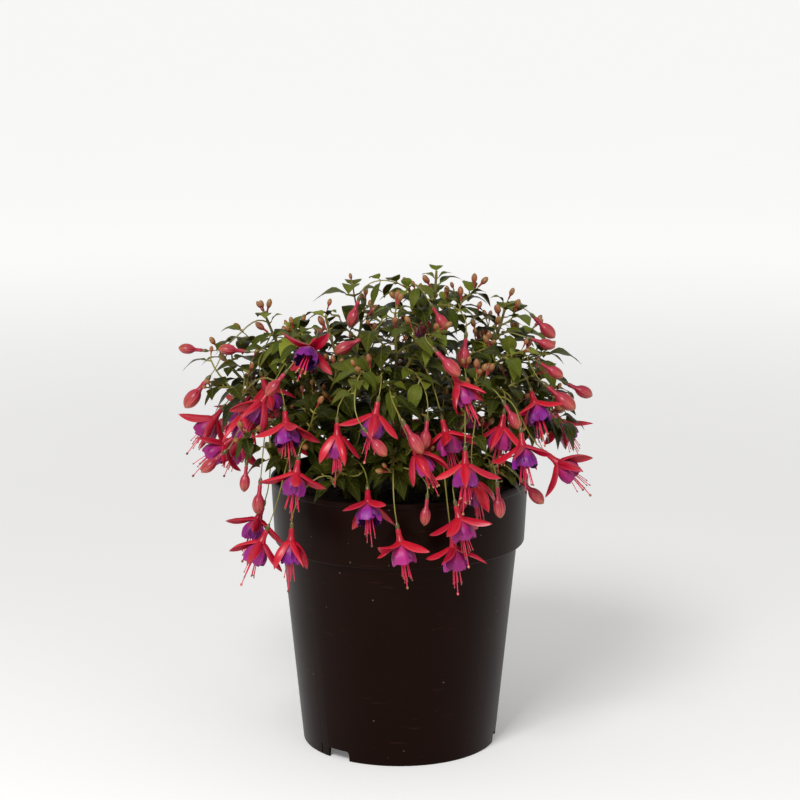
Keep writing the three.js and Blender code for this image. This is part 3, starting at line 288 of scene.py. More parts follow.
# Gaps: between pieces, the largest place that anything takes, and the share of its size that a small leaf
# keeps among others, low down and in the looser growth higher up
CLEAR = 0.7
BIGGEST_BALL = 8.6
SQUEEZE = 0.38
LOOSE = 0.46
# Heights above which growth is looser, leaves lie flatter, no bud stands, and leaves stay young and unshaded;
# below that last height leaves are painted darker over AGING millimetres, partly as older growth and partly
# as painted shade inside the bush, and AGING is also how slowly twiglet leaves age away from a tip
LOOSE_ABOVE = 262
LEVEL_ABOVE = 270
BUD_CEILING = 357
YOUNG_AND_UNSHADED_ABOVE = 306
AGING = 50
# The share of three buds a tip that are tried at stems and at twiglets, and the twiglets' least height for it
STEM_TIP_BUDS = 0.75
TWIGLET_TIP_BUDS = 0.26
TWIGLET_BUDS_ABOVE = 240
# How far back flowers, and then small buds, still have to show
SHOWN_TO = 25
SMALL_SHOWN_TO = 45
# Where edges are drawn sharp, and the step that gives neighbours unlike tints
SHARP = math.radians(55)
TINT_STEP = 0.618
# The way to the eye, which small growth leaves open in front of flowers, and the room that it keeps to
FRONT = np.array((0, -0.982, 0.189))
GROWTH_BOX = ((-160.0, 146.0), (-130.0, 148.0), (186.0, 353.0))


# The plan of the plant


def dot(a: Array, b: Array) -> float:
    """The dot product of two directions."""
    return float(a[0] * b[0] + a[1] * b[1] + a[2] * b[2])


def cross(a: Array, b: Array) -> Array:
    """The cross product of two directions."""
    return np.array((a[1] * b[2] - a[2] * b[1], a[2] * b[0] - a[0] * b[2], a[0] * b[1] - a[1] * b[0]))


def size_of(v: Array) -> float:
    """The length of a vector."""
    return math.sqrt(dot(v, v))


def unit(v: Array) -> Array:
    """The direction of a vector."""
    return v * (1 / size_of(v))


def turned(first: Array, second: Array, angle: float) -> Array:
    """A direction turned from the first of two square directions towards the second."""
    return first * math.cos(angle) + second * math.sin(angle)


def square_to(heading: Array) -> tuple[Array, Array]:
    """Two directions square to a heading: sideways and level, then upwards.

    Args:
        heading: a direction of length 1.

    Returns:
        The two directions.
    """
    side = cross(heading, UP)
    if size_of(side) < 0.1:
        side = np.array((1.0, 0.0, 0.0))
    side = unit(side)
    return side, unit(cross(side, heading))


def random_from(seed: int) -> Draw:
    """A seeded source of random numbers from 0 to 1.

    Args:
        seed: the number that the whole row of draws follows from.

    Returns:
        A function that gives the next number.
    """
    state = seed
    word = 0xFFFFFFFF

    def draw() -> float:
        """The next number.

        Returns:
            A number from 0 up to 1.
        """
        nonlocal state
        state = (state + 0x6D2B79F5) & word
        t = state
        t = ((t ^ (t >> 15)) * (t | 1)) & word
        t ^= (t + (((t ^ (t >> 7)) * (t | 61)) & word)) & word
        return ((t ^ (t >> 14)) & word) / 4294967296

    return draw


def tint_of(number: int) -> float:
    """A tint from 0 to 1 that neighbours don't share."""
    return (number * TINT_STEP) % 1


def cubic(controls: tuple[Array, Array, Array, Array], steps: int) -> Array:
    """Points along a cubic curve.

    Args:
        controls: its two ends and the two points between them that bend it.
        steps: the number of pieces between the points.

    Returns:
        The points, one a row.
    """
    a, b, c, d = controls
    points = []
    for i in range(steps + 1):
        t = i / steps
        k = 1 - t
        points.append(k * k * k * a + 3 * k * k * t * b + 3 * k * t * t * c + t * t * t * d)
    return np.array(points)


class Line:
    """A line through points, and the smooth line that goes through the same points."""

    def __init__(self, points: Array) -> None:
        """Measures the line.

        Args:
            points: its points, one a row.
        """
        self.points = points
        self.spans = [size_of(b - a) for a, b in zip(points, points[1:])]
        self.length = 0.0
        for span in self.spans:
            self.length += span

    def place(self, share: float) -> tuple[int, float]:
        """Finds a share of the length.

        Args:
            share: from 0 at the start to 1 at the tip.

        Returns:
            The piece that holds it, and how far into that piece it is.
        """
        rest = share * self.length
        i = 0
        while i < len(self.points) - 2 and rest > self.spans[i]:
            rest -= self.spans[i]
            i += 1
        return i, rest

    def along(self, share: float) -> tuple[Array, Array]:
        """The point at a share of the length, and the direction there.

        Args:
            share: 0 at the start and 1 at the end.

        Returns:
            The point and the direction.
        """
        i, rest = self.place(share)
        heading = unit(self.points[i + 1] - self.points[i])
        return self.points[i] + heading * rest, heading

    def smooth(self, share: float) -> Array:
        """A point of the smooth line.

        Args:
            share: from 0 at the start to 1 at the tip.

        Returns:
            The point.
        """
        i, rest = self.place(share)
        f = rest / self.spans[i]
        a = self.points[max(i - 1, 0)]
        b, c = self.points[i], self.points[i + 1]
        d = self.points[min(i + 2, len(self.points) - 1)]
        bend = (2 * a - 5 * b + 4 * c - d) * f * f + (3 * b - a - 3 * c + d) * f * f * f
        return b + 0.5 * ((c - a) * f + bend)


@dataclass
class Shoot:
    """A main stem or a side shoot."""

    number: int
    stem: int
    radius: Taper
    line: Line
    pairs: int

    @property
    def owner(self) -> str:
        """The name of the piece that the shoot belongs to."""
        return f"stem{self.stem}"


@dataclass
class Axil:
    """A place on a shoot where a pair of leaves grows."""

    shoot: Shoot
    pair: int
    distance: float
    share: float
    point: Array
    heading: Array
    used: int = 0


@dataclass(frozen=True)
class Hang:
    """The axes of a hanging flower or bud."""

    down: Array
    first: Array
    second: Array

    @staticmethod
    def of(hang: Triple, spin: float) -> "Hang":
        """Works the axes out.

        Args:
            hang: the way that the flower or bud hangs.
            spin: its turn, in degrees.

        Returns:
            Its axes.
        """
        down = unit(np.array(hang, float))
        side, rise = square_to(down)
        first = turned(side, rise, math.radians(spin))
        return Hang(down, first, cross(down, first))


@dataclass
class Hanging:
    """A flower or a large bud, where it hangs and what it hangs on."""

    number: int
    label: str
    at: Array
    hang: Hang
    size: float = 1
    lift: float = 0
    wobble: tuple[float, ...] = ()
    axil: Axil | None = None
    stalk: tuple[Array, Array, Array, Array] | None = None

    @property
    def bell(self) -> float:
        """The width of the bell of petals, as a share of an open one's."""
        return FLOWER.half_open_bell if self.lift < FLOWER.half_open_lift else 1

    @property
    def stem(self) -> int:
        """The stem that it hangs on."""
        return self.axil.shoot.stem


@dataclass
class UprightBud:
    """A small bud that stands up from an axil or a tip."""

    stem: int
    foot: Array
    top: Array
    heading: Array
    size: float
    age: float = 0.4


@dataclass
class Leaf:
    """A leaf: its root, the way it points and faces, and its sizes."""

    stem: int
    root: Array
    heading: Array
    face: Array
    across: Array
    length: float
    width: float
    droop: float
    age: float
    tint: float = 0.5

    def point(self, share: float, across: float) -> Array:
        """A point of the plain leaf.

        Args:
            share: its place along the leaf, from 0 to 1.
            across: its place across the leaf, from -1 to 1.

        Returns:
            The point.
        """
        outline = math.sin(math.pi * share**0.78) ** 0.8 if share < 1 else 0.0
        half = (self.width / 2) * outline * across
        point = self.root + self.heading * (self.length * share)
        point = point + UP * (-self.droop * self.length * share * share)
        return point + self.across * half + self.face * (LEAF.fold * abs(half))

    def balls(self) -> Balls:
        """The places that the leaf takes.

        Returns:
            Balls along its middle, and beside it where it is wide.
        """
        balls = []
        for share in (0.2, 0.38, 0.56, 0.74, 0.9):
            half = (self.width / 2) * math.sin(math.pi * share**0.78) ** 0.8
            for across in (-0.55, 0, 0.55) if half > 2 else (0,):
                balls.append((self.point(share, across), 0.46 * half + 0.35))
        balls.append((self.point(1, 0), 0.4))
        return balls


class Space:
    """The places that are taken, as balls, each with the piece that it belongs to."""

    def __init__(self) -> None:
        """Starts empty."""
        self.points = np.empty((0, 3))
        self.radii = np.empty(0)
        self.owners = np.empty(0, int)
        self.soft = np.empty(0, bool)
        self.numbers: dict[str, int] = {}

    def number(self, owner: str) -> int:
        """The number that stands for a piece."""
        return self.numbers.setdefault(owner, len(self.numbers))

    def take(self, balls: Balls, owner: str, soft: bool = False) -> None:
        """Adds the balls of a piece, which are soft if they are a leaf's.

        Args:
            balls: their middles and radii.
            owner: the name of the piece.
            soft: whether they are a leaf's.
        """
        self.points = np.vstack([self.points, [point for point, _ in balls]])
        self.radii = np.append(self.radii, [radius for _, radius in balls])
        self.owners = np.append(self.owners, [self.number(owner)] * len(balls))
        self.soft = np.append(self.soft, [soft] * len(balls))

    def near(self, owner: str, point: Array, reach: float) -> Array:
        """Marks the balls of a piece that lie near a point, where another part of it may touch them."""
        return (self.owners == self.number(owner)) & (((self.points - point) ** 2).sum(1) < reach * reach)

    @staticmethod
    def meets_pot(points: Array, radii: Array) -> bool:
        """True if a ball reaches into the pot's wall or the soil.

        Args:
            points: the middles of the balls.
            radii: their radii.

        Returns:
            Whether one does.
        """
        out = np.hypot(points[:, 0], points[:, 1])
        z = points[:, 2]
        slope = (POT.rim_radius - POT.collar_foot[0]) / (POT.height - POT.collar_foot[1])
        wall = POT.collar_foot[0] + slope * (z - POT.collar_foot[1])
        inside = wall - POT.wall - CLEAR
        in_wall = (out + radii > inside) & (out - radii < wall + CLEAR)
        in_soil = (out < inside) & (z - radii < SHOOT.start_z + CLEAR)
        return bool(((z - radii <= POT.height + CLEAR) & (in_wall | in_soil)).any())

    def is_clear(self, balls: Balls, owner: str, may_touch: Array | None,
                 squeeze: float = 1.0) -> bool:
        """True if balls keep clear of the pot and of every taken place.

        Args:
            balls: the places to test.
            owner: the piece that they belong to, which needs no gap to itself.
            may_touch: marks the taken places that they may touch.
            squeeze: the share of its size that a leaf keeps among others.

        Returns:
            Whether there is room.
        """
        points = np.array([point for point, _ in balls])
        radii = np.array([radius for _, radius in balls])
        if self.meets_pot(points, radii):
            return False
        radii = radii * squeeze
        margin = radii.max() + BIGGEST_BALL + CLEAR
        close = ((self.points > points.min(0) - margin) & (self.points < points.max(0) + margin)).all(1)
        if may_touch is not None:
            close &= ~may_touch
        gaps = np.where(self.owners[close] == self.number(owner), 0.0, CLEAR)
        sizes = self.radii[close] * np.where(self.soft[close], squeeze, 1.0)
        room = radii[:, None] + sizes[None] + gaps[None]
        d = points[:, None] - self.points[close][None]
        return not ((d**2).sum(2) < room * room).any()


def sepal_rib(at: Array, hang: Hang, quarter: int, leave: float, end: float,
              steps: int) -> tuple[Array, Array]:
    """The rib of one sepal, which leaves the mouth of the tube and turns out towards its end angle.

    Args:
        at: where the tube starts.
        hang: the flower's axes.
        quarter: which of the four sepals it is.
        leave: the angle from straight down at which it leaves, in degrees.
        end: the angle at which it ends, in degrees.
        steps: the number of pieces.

    Returns:
        The points of the rib and the directions there, one a row.
    """
    out = turned(hang.first, hang.second, (quarter * math.pi) / 2)
    point = at + hang.down * FLOWER.tube_length + out * (FLOWER.tube_radius * 0.8)
    points, headings = [point], []
    for i in range(1, steps + 1):
        angle = math.radians(leave + ((end - leave) * (i - 0.5)) / steps)
        heading = turned(hang.down, out, angle)
        point = point + heading * (FLOWER.sepal_length / steps)
        points.append(point)
        headings.append(heading)
    return np.array(points), np.array([headings[0], *headings])


def sepal_angles(flower: Hanging) -> list[tuple[float, float]]:
    """The angles at which a flower's four sepals leave and end, in degrees.

    Args:
        flower: the open flower.

    Returns:
        Both angles of each sepal.
    """
    leave = FLOWER.leave_base + FLOWER.leave_per_lift * flower.lift
    ends = [max(flower.lift + FLOWER.end_random * (w - 0.5), FLOWER.end_least) for w in flower.wobble]
    return [(leave, end) for end in ends]


def flower_balls(flower: Hanging) -> Balls:
    """The places that an open flower takes, as balls.

    Args:
        flower: the open flower.

    Returns:
        Their middles and radii.
    """
    bell = flower.bell
    spots = [(1.5, 2), (5, 2.6), (9, 3.6), (13, 5 * bell), (17, 8 * bell), (20.5, 8.6 * bell)]
    spots += [(27, 3.6), (32, 3.4), (38, 1.6), (FLOWER.style_reach, 1.2)]
    balls = [(flower.at + flower.hang.down * reach, radius) for reach, radius in spots]
    for quarter, (leave, end) in enumerate(sepal_angles(flower)):
        rib, _ = sepal_rib(flower.at, flower.hang, quarter, leave, end, 5)
        balls += zip(rib[1:], (3.6, 3.8, 3.6, 3, 1.6))
    return balls


def bud_balls(at: Array, down: Array, size: float) -> Balls:
    """The places that a closed bud takes, as balls.

    Args:
        at: where its stalk ends.
        down: the direction in which it hangs.
        size: its size against a full one.

    Returns:
        Their middles and radii.
    """
    tube = FLOWER.bud_tube
    spots = ((1.5, 2), (4.5, 2), (tube + 4, 4), (tube + 8, 4.8), (tube + 12, 2.6))
    return [(at + down * (reach * size), radius * size) for reach, radius in spots]


class Plan:
    """The whole plant as points and directions, worked out in the order of its random draws."""

    def __init__(self) -> None:
        """Works the plant out."""
        draw = random_from(SEED)
        self.space = Space()
        self.shoots = self.plan_shoots()
        for shoot in self.shoots:
            shares = [i / SHOOT.balls for i in range(SHOOT.balls + 1)]
            self.space.take([(shoot.line.along(s)[0], shoot.radius.at(s)) for s in shares], shoot.owner)
        self.axils = self.plan_axils()
        wobbles = [tuple(draw() for _ in range(4)) for _ in BLOOMS]
        self.flowers = self.hang_flowers(wobbles)
        self.buds = self.hang_buds()
        self.upright_buds = self.plan_upright_buds(draw)
        self.leaves = self.plan_leaves(draw)
        front = [flower for flower in self.flowers if flower.at[1] < SHOWN_TO]
        self.shown = [(flower.at + flower.hang.down * 13 * flower.size, 11.0) for flower in front]
        front = [bud for bud in self.buds if bud.at[1] < SHOWN_TO]
        self.shown += [(bud.at + bud.hang.down * 12 * bud.size, 6.5) for bud in front]
        self.tip_buds = self.plan_tip_buds(self.shoots, SEED + 2, STEM_TIP_BUDS)
        front = [bud for bud in self.small_buds if bud.top[1] < SMALL_SHOWN_TO]
        self.shown += [(bud.top + bud.heading * 4, 3.4) for bud in front]
        self.small_leaves: list[Leaf] = []
        self.plan_small_leaves()
        self.plan_stalk_leaves()
        self.twiglets = self.plan_twiglets()
        high = [twiglet for twiglet in self.twiglets
                if twiglet.line.points[-1][2] > TWIGLET_BUDS_ABOVE]
        self.tip_buds += self.plan_tip_buds(high, SEED + 6, TWIGLET_TIP_BUDS, SQUEEZE)

    @property
    def hanging(self) -> list[Hanging]:
        """The flowers and the buds that hang."""
        return self.flowers + self.buds

    @property
    def small_buds(self) -> list[UprightBud]:
        """The buds that stand up in axils and at tips."""
        return self.upright_buds + self.tip_buds

    @staticmethod
    def plan_shoots() -> list[Shoot]:
        """Each stem rises from the soil and leans out, and its side shoots arch away from it.

        Returns:
            The shoots, each stem before its side shoots.
        """
        shoots: list[Shoot] = []
        for stem, (foot, tip, twigs) in enumerate(STEMS):
            start = np.array((foot[0], foot[1], SHOOT.start_z), float)
            end = np.array(tip, float)
            reach = end - start
            low, high = (start + reach * np.array((out, out, up)) for out, up in SHOOT.stem_bend)
            main = Line(cubic((start, low, high, end), SHOOT.stem_steps))
            shoots.append(Shoot(len(shoots), stem, SHOOT.stem, main, len(SHOOT.pair_distances)))
            for share, twig_tip in twigs:
                fork = main.along(share)[0]
                end = np.array(twig_tip, float)
                span = end - fork
                arch = np.array((0, 0, SHOOT.twig_arch * size_of(span)))
                low = fork + span * SHOOT.twig_low + arch
                high = fork + span * SHOOT.twig_high + arch * SHOOT.twig_arch_high
                twig = Line(cubic((fork, low, high, end), SHOOT.twig_steps))
                shoots.append(Shoot(len(shoots), stem, SHOOT.twig, twig, SHOOT.twig_pairs))
        return shoots

    def plan_axils(self) -> list[Axil]:
        """Finds the leaf axils of every shoot.

        Returns:
            The axils, from each shoot's tip down.
        """
        axils = []
        for shoot in self.shoots:
            for pair in range(shoot.pairs):
                distance = SHOOT.pair_distances[pair]
                share = 1 - distance / shoot.line.length
                if share * shoot.line.length < SHOOT.bare_foot:
                    break
                point, heading = shoot.line.along(share)
                axils.append(Axil(shoot, pair, distance, share, point, heading))
        return axils

    def find_stalk(self, thing: Hanging) -> bool:
        """Gives a hanging thing the clear stalk that suits it best.

        Args:
            thing: the flower or bud.

        Returns:
            Whether one was found.
        """
        down = thing.hang.down
        top = thing.at + down * (-FLOWER.ovary_length * thing.size)

        def price(axil: Axil) -> float:
            """How badly an axil suits the flower or bud.

            Args:
                axil: where a stalk may start.

            Returns:
                A greater number for a worse place.
            """
            near = abs(size_of(axil.point - top) - FLOWER.stalk_span)
            above = 1.3 * max(0, top[2] - axil.point[2] + 4)
            return near + above + 14 * axil.used + (30 if axil.pair < 2 else 0)

        own = self.space.owners == self.space.number(thing.label)
        for axil in sorted(self.axils, key=price)[: FLOWER.stalk_tries]:
            owner = axil.shoot.owner
            may_touch = own | self.space.near(owner, axil.point, 7)
            span = size_of(top - axil.point)
            out = (top - axil.point) * (1, 1, 0)
            if size_of(out) < 1:
                out = top * (1, 1, 0)
            out = unit(out)
            for arch in FLOWER.stalk_arches:
                for sway in FLOWER.stalk_sways:
                    aside = np.array((-out[1], out[0], 0)) * (sway * span)
                    bend = axil.point + out * (0.3 * span) + UP * (arch * span) + aside
                    controls = (axil.point, bend, top + down * (-0.4 * span), top)
                    line = Line(cubic(controls, FLOWER.stalk_steps))
                    count = FLOWER.stalk_balls
                    balls = [(line.along((i + 1) / count)[0], FLOWER.stalk_radius) for i in range(count)]
                    balls.append((thing.at + down * (-2.5 * thing.size), 2))
                    if self.space.is_clear(balls, owner, may_touch):
                        thing.axil, thing.stalk = axil, controls
                        self.stalk_places = balls
                        return True
        return False

    def hang_up(self, thing: Hanging, item_hang: Triple, spins: Iterable[float],
                balls_of: Callable[[Hanging], Balls]) -> Hanging | None:
        """Hangs a thing at its place, or as near to it as it has room.

        Args:
            thing: the flower or bud, at its listed place.
            item_hang: the way that it hangs.
            spins: the turns to try.
            balls_of: gives the places that it takes.

        Returns:
            The thing, or None where there is no room.
        """
        listed = thing.at
        for offset in OFFSETS:
            for spin in spins:
                thing.at = listed + offset
                thing.hang = Hang.of(item_hang, spin)
                balls = balls_of(thing)
                if not self.space.is_clear(balls, thing.label, None) or not self.find_stalk(thing):
                    continue
                self.space.take(balls, thing.label)
                self.space.take(self.stalk_places, thing.axil.shoot.owner)
                thing.axil.used += 1
                return thing
        log.warning("no room for %s", thing.label)
        return None

    def hang_flowers(self, wobbles: list[tuple[float, ...]]) -> list[Hanging]:
        """Hangs every listed flower.

        Args:
            wobbles: four random numbers for each one's sepals.

        Returns:
            Those that found room.
        """
        hung = []
        for number, (at, hang, lift, spin) in enumerate(BLOOMS):
            place = np.array(at, float)
            flower = Hanging(number, f"bloom{number}", place, Hang.of(hang, spin), 1, lift, wobbles[number])
            hung.append(self.hang_up(flower, hang, (spin, spin + 30, spin + 60), flower_balls))
        return [flower for flower in hung if flower]

    def hang_buds(self) -> list[Hanging]:
        """Hangs every listed bud.

        Returns:
            Those that found room.
        """
        hung = []
        for number, (at, hang, size) in enumerate(BUDS):
            bud = Hanging(number, f"bud{number}", np.array(at, float), Hang.of(hang, 0), size)
            hung.append(self.hang_up(bud, hang, (0,), lambda b: bud_balls(b.at, b.hang.down, b.size)))
        return [bud for bud in hung if bud]

    def plan_upright_buds(self, draw: Draw) -> list[UprightBud]:
        """Small buds stand up from the upper axils of every other shoot.

        Args:
            draw: gives random numbers.

        Returns:
            The buds that found room.
        """
        placed = []
        for axil in self.axils:
            a, b, c = draw(), draw(), draw()
            if axil.pair != 1 or axil.shoot.number % 2:
                continue
            side, rise = square_to(axil.heading)
            for attempt in range(6):
                out = turned(side, rise, 2 * math.pi * (a + attempt / 6))
                heading = turned(axil.heading, out, math.radians(24 + 30 * b))
                heading = unit(heading + UP * 0.35)
                top = axil.point + heading * 7
                size = 0.55 * (0.88 + 0.24 * c)
                balls = bud_balls(top, heading, size)
                stalk = axil.point + (top - axil.point) * 0.6
                balls.append((stalk, FLOWER.stalk_radius))
                owner = axil.shoot.owner
                if self.space.is_clear(balls, owner, self.space.near(owner, axil.point, 5)):
                    self.space.take(balls, owner)
                    placed.append(UprightBud(axil.shoot.stem, axil.point, top, heading, size))
                    break
        return placed

    @staticmethod
    def leaf_at(axil: Axil, turn: float, size: float, droop: float, draw: float) -> Leaf:
        """A leaf at an axil.

        Args:
            axil: where it grows.
            turn: its turn round the shoot, in radians.
            size: its size as a share of the usual one.
            droop: how far its tip hangs, as a share of its length.
            draw: a random number from 0 to 1 for its spread.

        Returns:
            The leaf.
        """
        side, rise = square_to(axil.heading)
        out = turned(side, rise, turn)
        widening = (LEAF.spread_most - LEAF.spread_least) * min(axil.distance / LEAF.spread_full_at, 1)
        spread = math.radians(LEAF.spread_least + widening + LEAF.spread_random * (draw - 0.5))
        heading = turned(axil.heading, out, spread)
        heading[2] = 0.72 * heading[2] + 0.04
        heading = unit(heading)
        face = UP + axil.heading * 0.5
        face = unit(face + heading * -dot(face, heading))
        grown = min(axil.distance / LEAF.grown, 1)
        length = (LEAF.least + (LEAF.most - LEAF.least) * math.sqrt(grown)) * size
        width = length * LEAF.slimness
        stem = axil.shoot.stem
        return Leaf(stem, axil.point, heading, face, cross(heading, face), length, width, droop, grown)

    def plan_leaves(self, draw: Draw) -> list[Leaf]:
        """Pairs of leaves; a leaf turns, droops or stays smaller to keep clear.

        Args:
            draw: gives random numbers.

        Returns:
            The leaves that found room.
        """
        leaves = []
        for axil in self.axils:
            pair_turn = (axil.pair * math.pi) / 2 + axil.shoot.number * SHOOT.pair_turn + 0.5 * (draw() - 0.5)
            owner = axil.shoot.owner
            for hand in range(2):
                a, b, c = draw(), draw(), draw()
                may_touch = self.space.near(owner, axil.point, LEAF.touch)
                kept = None
                for shrink in LEAF.shrinks:
                    for swing in LEAF.swings:
                        turn = pair_turn + hand * math.pi + math.radians(swing)
                        swung = LEAF.droop_per_swing * abs(swing)
                        droop = LEAF.droop_least + LEAF.droop_random * b + swung
                        leaf = self.leaf_at(axil, turn, shrink * (0.86 + 0.3 * a), droop, c)
                        if self.space.is_clear(leaf.balls(), owner, may_touch):
                            kept = leaf
                            break
                    if kept:
                        break
                if kept:
                    self.space.take(kept.balls(), owner, True)
                    kept.tint = tint_of(len(leaves))
                    leaves.append(kept)
        return leaves

    def grow_leaf(self, axil: Axil, turn: float, size: float, droop: float, draws: tuple[float, float],
                  least_age: float = 0.0) -> None:
        """Adds a leaf if there is room for it and it hides no flower of the front.

        Args:
            axil: where it grows.
            turn: its turn round the shoot, in radians.
            size: its size as a share of the usual one.
            droop: how far its tip hangs, as a share of its length.
            draws: random numbers for its spread and its colour.
            least_age: how dark it is at least, from 0 to 1.
        """
        leaf = self.leaf_at(axil, turn, size, droop, draws[0])
        leaf.age = max(leaf.age, least_age)
        if leaf.root[2] > LEVEL_ABOVE:
            flat = unit(UP - leaf.heading * dot(UP, leaf.heading))
            leaf.face = unit(leaf.face * 0.65 + flat * 0.35)
            leaf.across = cross(leaf.heading, leaf.face)
            leaf.droop *= 1.15
        leaf.tint = draws[1]
        balls = leaf.balls()
        owner = axil.shoot.owner
        inside = all(low < point[i] < high for point, _ in balls for i, (low, high) in enumerate(GROWTH_BOX))
        hangs_out = any(point[2] < 212 and math.hypot(point[0], point[1]) > 86 for point, _ in balls)
        if not inside or hangs_out or self.hides_flower(balls):
            return
        squeeze = LOOSE if leaf.root[2] > LOOSE_ABOVE else SQUEEZE
        if self.space.is_clear(balls, owner, self.space.near(owner, axil.point, LEAF.touch), squeeze):
            self.space.take(balls, owner, True)
            self.small_leaves.append(leaf)

    def hides_flower(self, balls: Balls) -> bool:
        """Tests whether something would hang in front of a flower or bud of the front half.

        Args:
            balls: the places that it takes.

        Returns:
            Whether it hides one.
        """
        points = np.array([point for point, _ in balls])
        for middle, radius in self.shown:
            off = points - middle
            ahead = off @ FRONT
            aside = np.linalg.norm(off - ahead[:, None] * FRONT, axis=1)
            if ((ahead > 0) & (aside < radius)).any():
                return True
        return False

    def plan_small_leaves(self) -> None:
        """Young leaves at the tips and between the pairs, wherever there is room."""
        draw = random_from(SEED + 1)
        for shoot in self.shoots:
            for distance in SHOOT.small_distances:
                share = 1 - distance / shoot.line.length
                if share * shoot.line.length < 9:
                    break
                point, heading = shoot.line.along(share)
                axil = Axil(shoot, 0, distance, share, point, heading)
                first = 2 * math.pi * draw()
                hands = 2 if distance < SHOOT.tip or point[2] > LOOSE_ABOVE else 3
                for hand in range(hands):
                    a, b, c, d = draw(), draw(), draw(), draw()
                    size = (1.25 if distance < SHOOT.tip else 0.9) + 0.5 * a
                    self.grow_leaf(axil, first + hand * 2 * math.pi / hands, size, 0.1 + 0.35 * b, (c, d))

    def plan_twiglets(self) -> list[Shoot]:
        """Short leafy side shoots grow from the leaf axils and fill the plant.

        Returns:
            The twiglets that found room.
        """
        draw = random_from(SEED + 4)
        twiglets = []
        for axil in self.axils:
            if axil.distance < SHOOT.tip:
                continue
            side, rise = square_to(axil.heading)
            first = axil.pair * math.pi / 2 + axil.shoot.number * SHOOT.pair_turn + 0.4
            for hand in range(3):
                a, b, c = draw(), draw(), draw()
                out = turned(side, rise, first + hand * 2 * math.pi / 3 + 0.5 * (a - 0.5))
                way = unit(axil.heading * 0.55 + out * 0.9 + UP * 0.1)
                length = (8 + 24 * b) * min(1, 0.4 + axil.distance / 40)
                start = axil.point
                end = start + way * length * 0.9 + UP * length * 0.3
                high = start + way * length * 0.75 + UP * length * 0.08
                line = Line(cubic((start, start + way * length * 0.4, high, end), 4))
                twiglet = Shoot(len(self.shoots) + len(twiglets), axil.shoot.stem, SHOOT.twiglet, line, 0)
                inside = all(low + 5 < end[i] < high - 5 for i, (low, high) in enumerate(GROWTH_BOX))
                balls = [(line.along(share)[0], 0.9) for share in (0.5, 0.75, 1)]
                crowded = start[2] > LOOSE_ABOVE and hand > 0
                if crowded or not inside or self.hides_flower(balls):
                    continue
                may_touch = self.space.near(twiglet.owner, start, 5)
                if not self.space.is_clear(balls, twiglet.owner, may_touch, SQUEEZE):
                    continue
                twiglets.append(twiglet)
                turn = 6.3 * c
                for distance in SHOOT.twiglet_distances:
                    if distance > length - 2.5:
                        break
                    point, heading = line.along(1 - distance / line.length)
                    spot = Axil(twiglet, 0, distance + 9, 1 - distance / line.length, point, heading)
                    turn += math.pi / 2
                    for half in range(2):
                        d, e, f, g = draw(), draw(), draw(), draw()
                        size = (1.3 if start[2] > LOOSE_ABOVE else 1.0) * (0.9 + 0.45 * d)
                        least_age = min(1, axil.distance / AGING)
                        self.grow_leaf(spot, turn + half * math.pi, size, 0.1 + 0.35 * e, (f, g), least_age)
        return twiglets

    def plan_stalk_leaves(self) -> None:
        """The long stalks are the ends of flowering twigs, so pairs of leaves grow along them."""
        draw = random_from(SEED + 5)
        for thing in self.hanging:
            line = Line(cubic(thing.stalk, 10))
            turn = 6.3 * draw()
            reach = 9.0
            while reach < line.length - 17:
                point, heading = line.along(reach / line.length)
                spot = Axil(thing.axil.shoot, 0, 15, 0, point, heading)
                for half in range(2):
                    a, b, c, d = draw(), draw(), draw(), draw()
                    self.grow_leaf(spot, turn + half * math.pi, 0.62 + 0.4 * a, 0.15 + 0.35 * b, (c, d), 0.45)
                turn += math.pi / 2
                reach += 9 + 5 * draw()

    def plan_tip_buds(self, shoots: list[Shoot], seed: int, often: float,
                      squeeze: float = 1.0) -> list[UprightBud]:
        """Clusters of small buds stand at the tips of shoots.

        Args:
            shoots: the shoots.
            seed: the seed of their random draws.
            often: the share of three buds a tip that is tried.
            squeeze: how far leaves give way to them.

        Returns:
            The buds that have room.
        """
        draw = random_from(seed)
        placed = []
        for shoot in shoots:
            tip, heading = shoot.line.points[-1], shoot.line.along(1)[1]
            side, rise = square_to(heading)
            for k in range(3):
                a, b, c = draw(), draw(), draw()
                if c > often:
                    continue
                out = turned(side, rise, 2 * math.pi * (k + a) / 3)
                way = unit(heading * 0.7 + out * (0.45 + 0.4 * b) + UP * 0.75)
                top = tip + way * (3.5 + 4 * c)
                size = 0.32 + 0.2 * a
                if top[2] + 20 * size > BUD_CEILING:
                    continue
                balls = bud_balls(top, way, size)
                owner = shoot.owner
                if self.space.is_clear(balls, owner, self.space.near(owner, tip, 4), squeeze):
                    self.space.take(balls, owner)
                    placed.append(UprightBud(shoot.stem, tip, top, way, size, 0.35 * b))
        return placed


# Finishes


def linear(code: str) -> tuple[float, float, float, float]:
    """Turns an sRGB colour into a linear one.

    Args:
        code: the colour as a hash sign and six hex digits.

    Returns:
        Its red, green, blue and alpha.
    """
    levels = [int(code[i : i + 2], 16) / 255 for i in (1, 3, 5)]
    return (*[x / 12.92 if x <= 0.04045 else ((x + 0.055) / 1.055) ** 2.4 for x in levels], 1.0)


